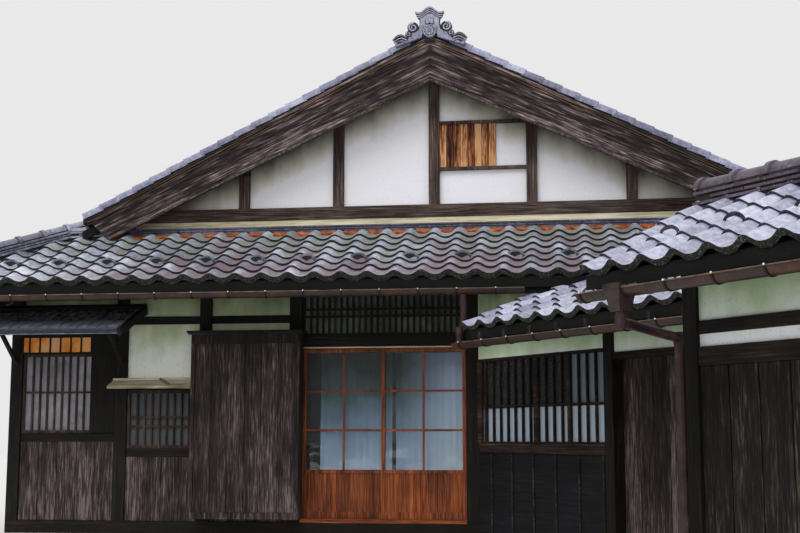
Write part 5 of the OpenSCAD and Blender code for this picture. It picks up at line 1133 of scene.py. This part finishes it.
# A pale strip on the lower part of the sheet is a painted sheen; the same pale finish draws a thin line under
# the front edge
for low, high, ease, slot in (
        ((0.0, 0.012, 0.0), (wide, 0.30, 0.008), 0.003, 2),
        ((-0.012, -0.012, -0.040), (wide + 0.012, 0.016, 0.010), 0.006, 3),
        ((-0.012, -0.016, -0.048), (wide + 0.012, 0.0, -0.040), 0.002, 2),
        ((-0.02, long - 0.07, -0.01), (wide + 0.02, long + 0.03, 0.034), 0.006, 1),
        ((-0.03, -0.02, -0.075), (0.01, long, 0.012), 0.004, 1),
        ((wide - 0.01, -0.02, -0.075), (wide + 0.03, long, 0.012), 0.004, 1)):
    bar(bm, low, high, ease, 0, fall, slot)
for x in canopy["arms"]:
    for start, end, side in (canopy["arm"], canopy["brace"]):
        place, length = lineFrame((x, *start), (x, *end))
        bar(bm, (0, -side, -side), (length, side, side), 0.004, 0, place, 1)
(y0, y1), (z0, z1) = canopy["beamY"], canopy["beamZ"]
bar(bm, (x0 + 0.03, y0, z0), (x1 - 0.05, y1, z1), 0.004, 0, None, 1)
makePiece("canopySheet", bm, ["slate", "railX", "paleEdge", "indigoEdge"],
          replaces=["window_hoods"])

# The small board hood beside the canopy, with a loose slat lying across it
hood = {"x": (-3.385, -2.475), "z": 1.838, "rise": 0.072, "reach": 0.20, "slat": (0.675, 0.525)}
bm = bmesh.new()
x0, x1 = hood["x"]
wide = x1 - x0
fall = slopeFrame((x0, -hood["reach"], hood["z"]), (1, 0, 0), (0, 1), hood["rise"] / hood["reach"])
long = math.hypot(hood["reach"], hood["rise"])
bar(bm, (0, 0, -0.016), (wide, long, 0.004), 0.003, 0.2, fall)
bar(bm, (0, -0.006, -0.026), (wide, 0.012, 0.006), 0.003, -0.2, fall)
bar(bm, (0, long - 0.02, 0.0), (wide, long, 0.026), 0.004, 1.6, fall)
near, far = (fall @ Vector((x, y, 0.012)) for x, y in zip(hood["slat"], (0.02, long - 0.01)))
slat, length = lineFrame(near, far)
bar(bm, (0, -0.014, -0.010), (length, 0.014, 0.012), 0.003, -2.5, slat)
makePiece("boardHood", bm, ["pale"])

# Gutter hooks: a narrow strap round the trough at every rafter, with a near-white bead on the rim at its end:
# a painted glint
hook = {"pitch": 0.38, "radius": 0.0595, "drop": 0.125, "out": 0.05, "bead": 0.0075, "width": 0.016,
        "in": 0.06, "steps": 8, "mainFrom": -4.93, "main": range(16), "wing": range(10),
        "annex": (0, 2, 3, 4, 5, 6)}


def layHooks(target, along, numbers, spot, out):
    side = hook["width"] / 2
    for i in numbers:
        middle = spot + along * (i * hook["pitch"])
        turns = [math.pi * k / hook["steps"] for k in range(hook["steps"] + 1)]
        arc = [middle + out * (hook["radius"] * math.cos(a)) - Vector((0, 0, hook["radius"] * math.sin(a)))
               for a in turns]
        for a, b in zip(arc, arc[1:]):
            strap, length = lineFrame(a, b)
            bar(target, (-0.001, -side, -0.002), (length + 0.001, side, 0.002), 0.0005, 0, strap)
        bead = bmesh.new()
        bmesh.ops.create_icosphere(bead, subdivisions=2, radius=hook["bead"])
        addTo(target, bead, Matrix.Translation(arc[0] + Vector((0, 0, 0.004))), 0.0, 1)


bm = bmesh.new()
mainRim = mainRoof["eaveZ"] - hook["drop"]
spot = Vector((hook["mainFrom"], front - hook["out"], mainRim))
layHooks(bm, Vector((1, 0, 0)), hook["main"], spot, Vector((0, -1, 0)))
wingOn, wingOut = (wingPlace.to_3x3() @ Vector(way) for way in ((1, 0, 0), (0, -1, 0)))
for roof, numbers in ((wing, hook["wing"]), (annex, hook["annex"])):
    spot = Vector((roof["left"] + hook["in"], roof["eaveY"] - hook["out"], roof["eaveZ"] - hook["drop"]))
    layHooks(bm, wingOn, numbers, wingPlace @ spot, wingOut)
makePiece("gutterHooks", bm, ["iron", "glintBead"])

# The rolled front rims of the three gutters, in a paler finish than the gutters: a painted highlight along
# each rim
rim = {"radius": 0.0045, "out": hook["out"] + hook["radius"] - 0.003, "main": (-5.345, 1.045), "in": 0.01}
bm = bmesh.new()
rod(bm, [(x, front - rim["out"], mainRim) for x in rim["main"]], rim["radius"])
for roof in (wing, annex):
    ends = [wingPlace @ Vector((x, roof["eaveY"] - rim["out"], roof["eaveZ"] - hook["drop"]))
            for x in (roof["left"] + rim["in"], wing["end"] - rim["in"])]
    rod(bm, ends, rim["radius"])
makePiece("gutterRims", bm, ["rim"], smooth=50)

# Rafter ends, seen between the wing's eave and its gutter
rafterEnd = {"count": 9, "from": 0.25, "side": 0.022, "y": (-0.004, 0.03), "z": (-0.115, -0.035)}
bm = bmesh.new()
for i in range(rafterEnd["count"]):
    x = wing["left"] + rafterEnd["from"] + i * hook["pitch"]
    low, high = ((x + way * rafterEnd["side"], wing["eaveY"] + y, wing["eaveZ"] + z)
                 for way, y, z in zip((-1, 1), rafterEnd["y"], rafterEnd["z"]))
    bar(bm, low, high, 0.004, 0.3, wingPlace)
makePiece("rafterEnds", bm, ["board"])


# Upright boards with open joints between them, laid on a wall's face. y is the outer face.
def layBoards(target, matrix, x, z, y, width, thick, joint=0.004, spread=0.7):
    count = max(1, round((x[1] - x[0]) / width))
    step = (x[1] - x[0]) / count
    for i in range(count):
        left = x[0] + i * step
        near = y + draw.uniform(0, 0.003)
        bar(target, (left + joint / 2, near, z[0]), (left + step - joint / 2, y + thick, z[1]), 0.003,
            draw.uniform(-spread, spread), matrix)


annexWall = {"x": (4.867, 6.578), "z": (0.232, 1.748), "y": -1.603, "width": 0.25, "thick": 0.012,
             "joint": 0.008, "spread": 1.0}
bm = bmesh.new()
layBoards(bm, wingPlace, **annexWall)
makePiece("annexBoards", bm, ["darkBoard"])

# The wing's dado: battens over its boards, under a rail and a ledge
dado = {"x": (0.07, 2.028), "from": 0.26, "count": 6, "pitch": 0.345, "side": 0.009,
        "battenY": (0.014, 0.030), "low": 0.232, "rail": (1.150, 1.228), "ledge": (1.222, 1.240)}
bm = bmesh.new()
for i in range(dado["count"]):
    x = dado["from"] + i * dado["pitch"]
    bar(bm, (x - dado["side"], dado["battenY"][0], dado["low"]),
        (x + dado["side"], dado["battenY"][1], dado["rail"][0]), 0.003, 0.6, wingPlace)
x0, x1 = dado["x"]
bar(bm, (x0, 0.004, dado["rail"][0]), (x1, 0.030, dado["rail"][1]), 0.004, 0.2, wingPlace)
bar(bm, (x0, -0.006, dado["ledge"][0]), (x1, 0.052, dado["ledge"][1]), 0.003, 1.2, wingPlace)
makePiece("dadoBattens", bm, ["railWing"])

# The boarded door slides inside the wall. Three battens are let into the inner side of its boards.
doorLeaf = {"x": (2.122, 3.328), "z": (0.232, 2.018), "y": 0.126, "width": 0.20, "thick": 0.030,
            "joint": 0.003, "spread": 0.8}
doorBatten = {"x": (2.13, 3.32), "y": (0.150, 0.156), "z": (0.30, 1.10, 1.90), "high": 0.06}
bm = bmesh.new()
layBoards(bm, wingPlace, **doorLeaf)
for z in doorBatten["z"]:
    bar(bm, (doorBatten["x"][0], doorBatten["y"][0], z),
        (doorBatten["x"][1], doorBatten["y"][1], z + doorBatten["high"]), 0.002, 0, wingPlace)
makePiece("doorBoards", bm, ["board"], body="boarded_door", replaces=["wing_door"])

# Boards below the two windows left of the shutter box
sill = {"left": ((-4.415, -3.370), (0.432, 1.258)), "right": ((-3.230, -2.450), (0.432, 1.098)), "y": 0.016,
        "width": 0.21, "thick": 0.013}
bm = bmesh.new()
for x, z in (sill["left"], sill["right"]):
    layBoards(bm, None, x, z, sill["y"], sill["width"], sill["thick"])
makePiece("sillBoards", bm, ["board"])

# The broad jamb beside the left window, and the pale strip over the glazed leaves
jamb = {"low": (-3.645, 0.004, 1.352), "high": (-3.368, 0.030, 2.198)}
strip = {"low": (-1.333, 0.004, 2.232), "high": (0.398, 0.032, 2.245)}
bm = bmesh.new()
bar(bm, jamb["low"], jamb["high"], 0.003, -0.5)
makePiece("windowJamb", bm, ["post"])
bm = bmesh.new()
bar(bm, strip["low"], strip["high"], 0.002, 0.3)
makePiece("headStrip", bm, ["pale"])

# The left window has paper panes behind its lattice, and above its rail a short row of them. The warm lamp
# light from inside in that top row is painted into the paper's colour, and a dark board over the wall above
# it is painted shade under the canopy
lit = {"x": (-4.41, -3.655), "z": (1.38, 2.19), "y": (0.0570, 0.0600), "top": (2.215, 2.372), "end": -3.368,
       "dark": 2.505, "bars": 7, "pitch": 0.117, "first": 0.104, "side": 0.009}
bm = bmesh.new()
x0, x1 = lit["x"]
z0, z1 = lit["top"]
bar(bm, (x0, lit["y"][0], lit["z"][0]), (x1, lit["y"][1], lit["z"][1]), 0.0005, slot=1)
bar(bm, (x0, -0.003, z0), (x1, 0.003, z1), 0.0005)
makePiece("litPanes", bm, ["litPaper", "dimPaper"])
bm = bmesh.new()
bar(bm, (-4.42, -0.006, z1), (lit["end"], 0.028, lit["dark"]), 0.003, -0.6)
bar(bm, (x1, -0.006, lit["z"][1]), (lit["end"], 0.028, z1), 0.003, -0.6)
bar(bm, (-4.42, -0.012, 2.195), (x1, 0.0, z0), 0.003, -0.2)
for i in range(lit["bars"]):
    x = x1 - lit["first"] - i * lit["pitch"]
    bar(bm, (x - lit["side"], -0.012, z0), (x + lit["side"], 0.0, z1), 0.002, 0.2)
makePiece("litSash", bm, ["post"])

# Wing window: frosted panes below the rail and at the right, clear panes above, in four sashes. The far wall
# has one long clear pane.
wingWindow = {"x": (0.02, 2.03), "z": (1.235, 1.604, 2.095), "y": (0.062, 0.066), "split": 1.46,
              "stiles": [(0.10, 0.030), (0.50, 0.034), (0.94, 0.050), (1.46, 0.050)],
              "farLow": (2.152, 1.754, 1.652), "farHigh": (4.743, 1.758, 2.098)}
x0, x1 = wingWindow["x"]
y0, y1 = wingWindow["y"]
low, rail, high = wingWindow["z"]
split = wingWindow["split"]
bm = bmesh.new()
for x, z, slot in (((x0, split), (rail, high), 0), ((x0, split), (low, rail), 1),
                   ((split, x1), (low, rail), 1), ((split, x1), (rail, high), 2)):
    bar(bm, (x[0], y0, z[0]), (x[1], y1, z[1]), 0.001, 0, wingPlace, slot)
bar(bm, wingWindow["farLow"], wingWindow["farHigh"], 0.001, 0, wingPlace, 0)
makePiece("wingPanes", bm, ["glass", "frosted", "obscure"], replaces=["wing_glass"])
bm = bmesh.new()
bar(bm, (-0.02, 0.020, low), (0.078, 0.056, high), 0.003, 0.8, wingPlace)
for x, wide in wingWindow["stiles"]:
    bar(bm, (x - wide / 2, 0.056, low), (x + wide / 2, 0.082, high), 0.002, 0.8, wingPlace)
for z, thick in ((rail - 0.012, 0.024), (low - 0.002, 0.030), (high - 0.028, 0.030)):
    bar(bm, (0.05, 0.057, z), (x1, 0.080, z + thick), 0.002, 0.6, wingPlace)
makePiece("wingSashes", bm, ["railWing"])

# Inside the wing a near-black sheet on the main house's wall paints the shade of the dark room, which the
# clear panes show
interiorShade = {"low": (0.56, -0.012, 0.45), "high": (2.40, -0.004, 2.34)}
bm = bmesh.new()
bar(bm, interiorShade["low"], interiorShade["high"], 0.001)
makePiece("interiorShadeWall", bm, ["paintedShade"])

# Two gathered curtains behind the glazed leaves, each one sheet of cloth, hung in shallow folds from the rail
drape = {"left": (-1.155, -0.385), "right": (-0.350, 0.390), "z": (0.56, 2.185), "y": 0.142, "fold": 0.0065,
         "pitch": 0.072, "perFold": 12, "rows": 26}


# The point of a curtain at a share of its width and a share of its way down
def foldPoint(span, share, down, phase):
    wide = span[1] - span[0]
    turn = 2 * math.pi * share * wide / drape["pitch"] + 0.5 * math.sin(5 * share + phase)
    deep = drape["fold"] * (0.7 + 0.3 * down) * (0.8 + 0.2 * math.sin(9 * share + phase))
    x = span[0] + wide * share + 0.004 * math.sin(3 * down + turn / 2)
    return x, drape["y"] + deep * math.sin(turn), drape["z"][1] - down * (drape["z"][1] - drape["z"][0])


def hangCurtain(name, span):
    columns = round((span[1] - span[0]) / drape["pitch"] * drape["perFold"])
    rows = drape["rows"]
    bm = bmesh.new()
    phase = draw.uniform(0, 6)
    grid = [[bm.verts.new(foldPoint(span, c / columns, r / rows, phase)) for c in range(columns + 1)]
            for r in range(rows + 1)]
    for above, below in zip(grid, grid[1:]):
        for c in range(columns):
            bm.faces.new((above[c], above[c + 1], below[c + 1], below[c]))
    bmesh.ops.recalc_face_normals(bm, faces=bm.faces)
    piece = makePiece(name, bm, ["curtain"], replaces=["curtains"], smooth=60)


hangCurtain("leftCurtain", drape["left"])
hangCurtain("rightCurtain", drape["right"])
print("panes, boards and curtains hung")

# What the nodes that keep their solids are made of
for key, names in {
    "stone": ["foundation"], "floor": ["main_floor"], "screed": ["wing_floor"],
    "post": ["front_posts", "side_posts", "back_posts", "transom_lattice", "wing_posts"],
    "railX": ["sill_beams", "wall_plates", "front_rails", "roof_beams"], "railY": ["side_rails"],
    "railWing": ["wing_sills", "wing_plates", "wing_lattices"], "dado": ["wing_boards"],
    "board": ["front_boards", "side_boards", "shutter_box"], "bar": ["side_lattices", "front_lattices"],
    "frontPlaster": ["front_plaster", "side_plaster", "back_plaster", "wing_walls"],
    "wingPlaster": ["wing_plaster"], "gablePlaster": ["gable_plaster"], "pale": ["window_hoods"],
    "glass": ["side_glass", "left_leaf_glass", "right_leaf_glass"], "frontFrosted": ["front_glass"],
    "door": ["left_leaf_frame", "right_leaf_frame"], "doorX": ["door_frame"], "paper": ["transom_panel"],
    "eave": ["rafters", "eave_boards", "front_roof", "back_roof", "left_roof", "right_roof", "wing_roof",
             "annex_roof"],
    "beam": ["gable_frames"], "barge": ["bargeboards"], "gutter": ["gutters"], "iron": ["gutter_brackets"],
    "pipe": ["downpipes"],
}.items():
    for name in names:
        nodes[name].material_slots[0].material = finish[key]

# Plain studio: a pale floor, an even sky and one soft sun. The camera sees light grey behind the house, and
# glossy surfaces mirror a sky that is dark at the foot and bright above, as between trees.
studio = {"floor": 60.0, "floorColour": "#d9d9d6", "sky": 0.90, "backdrop": "#e9e9e9", "sun": 1.3,
          "sunSpread": 40.0, "sunTurn": (38, -12, 0),
          "mirror": [(0.0, 0.05), (0.10, 0.06), (0.30, 0.55), (0.60, 0.95)]}
world = bpy.data.worlds.new("studio")
scene.world = world
world.use_nodes = True
tree = world.node_tree
light = tree.nodes["Background"]
feed(tree, light, {"Color": (1, 1, 1, 1), "Strength": studio["sky"]})
shown = put(tree, "Background", {"Color": linear(studio["backdrop"]), "Strength": 1.0})
ray = put(tree, "LightPath")
height = put(tree, "SeparateXYZ", {"Vector": put(tree, "TexCoord").outputs["Generated"]}).outputs["Z"]
mirrorTone = put(tree, "ValToRGB", {"Fac": height}, stops=studio["mirror"])
mirrorSky = put(tree, "Background", {"Color": mirrorTone, "Strength": 1.0})
lighting = put(tree, "MixShader", {"Fac": ray.outputs["Is Glossy Ray"], 1: light, 2: mirrorSky})
seen = put(tree, "MixShader", {"Fac": ray.outputs["Is Camera Ray"], 1: lighting, 2: shown})
feed(tree, tree.nodes["World Output"], {"Surface": seen})

bm = bmesh.new()
bmesh.ops.create_grid(bm, x_segments=1, y_segments=1, size=studio["floor"])
mesh = bpy.data.meshes.new("floor")
bm.to_mesh(mesh)
bm.free()
ground = bpy.data.objects.new("floor", mesh)
scene.collection.objects.link(ground)
material, tree, shader, place = newMaterial("paleFloor")
feed(tree, shader, {"Base Color": linear(studio["floorColour"]), "Roughness": 0.9})
mesh.materials.append(material)

sun = bpy.data.objects.new("sun", bpy.data.lights.new("sun", "SUN"))
sun.data.energy = studio["sun"]
sun.data.angle = math.radians(studio["sunSpread"])
sun.rotation_euler = [math.radians(turn) for turn in studio["sunTurn"]]
scene.collection.objects.link(sun)

scene.view_settings.view_transform = "Standard"
print("stage set")
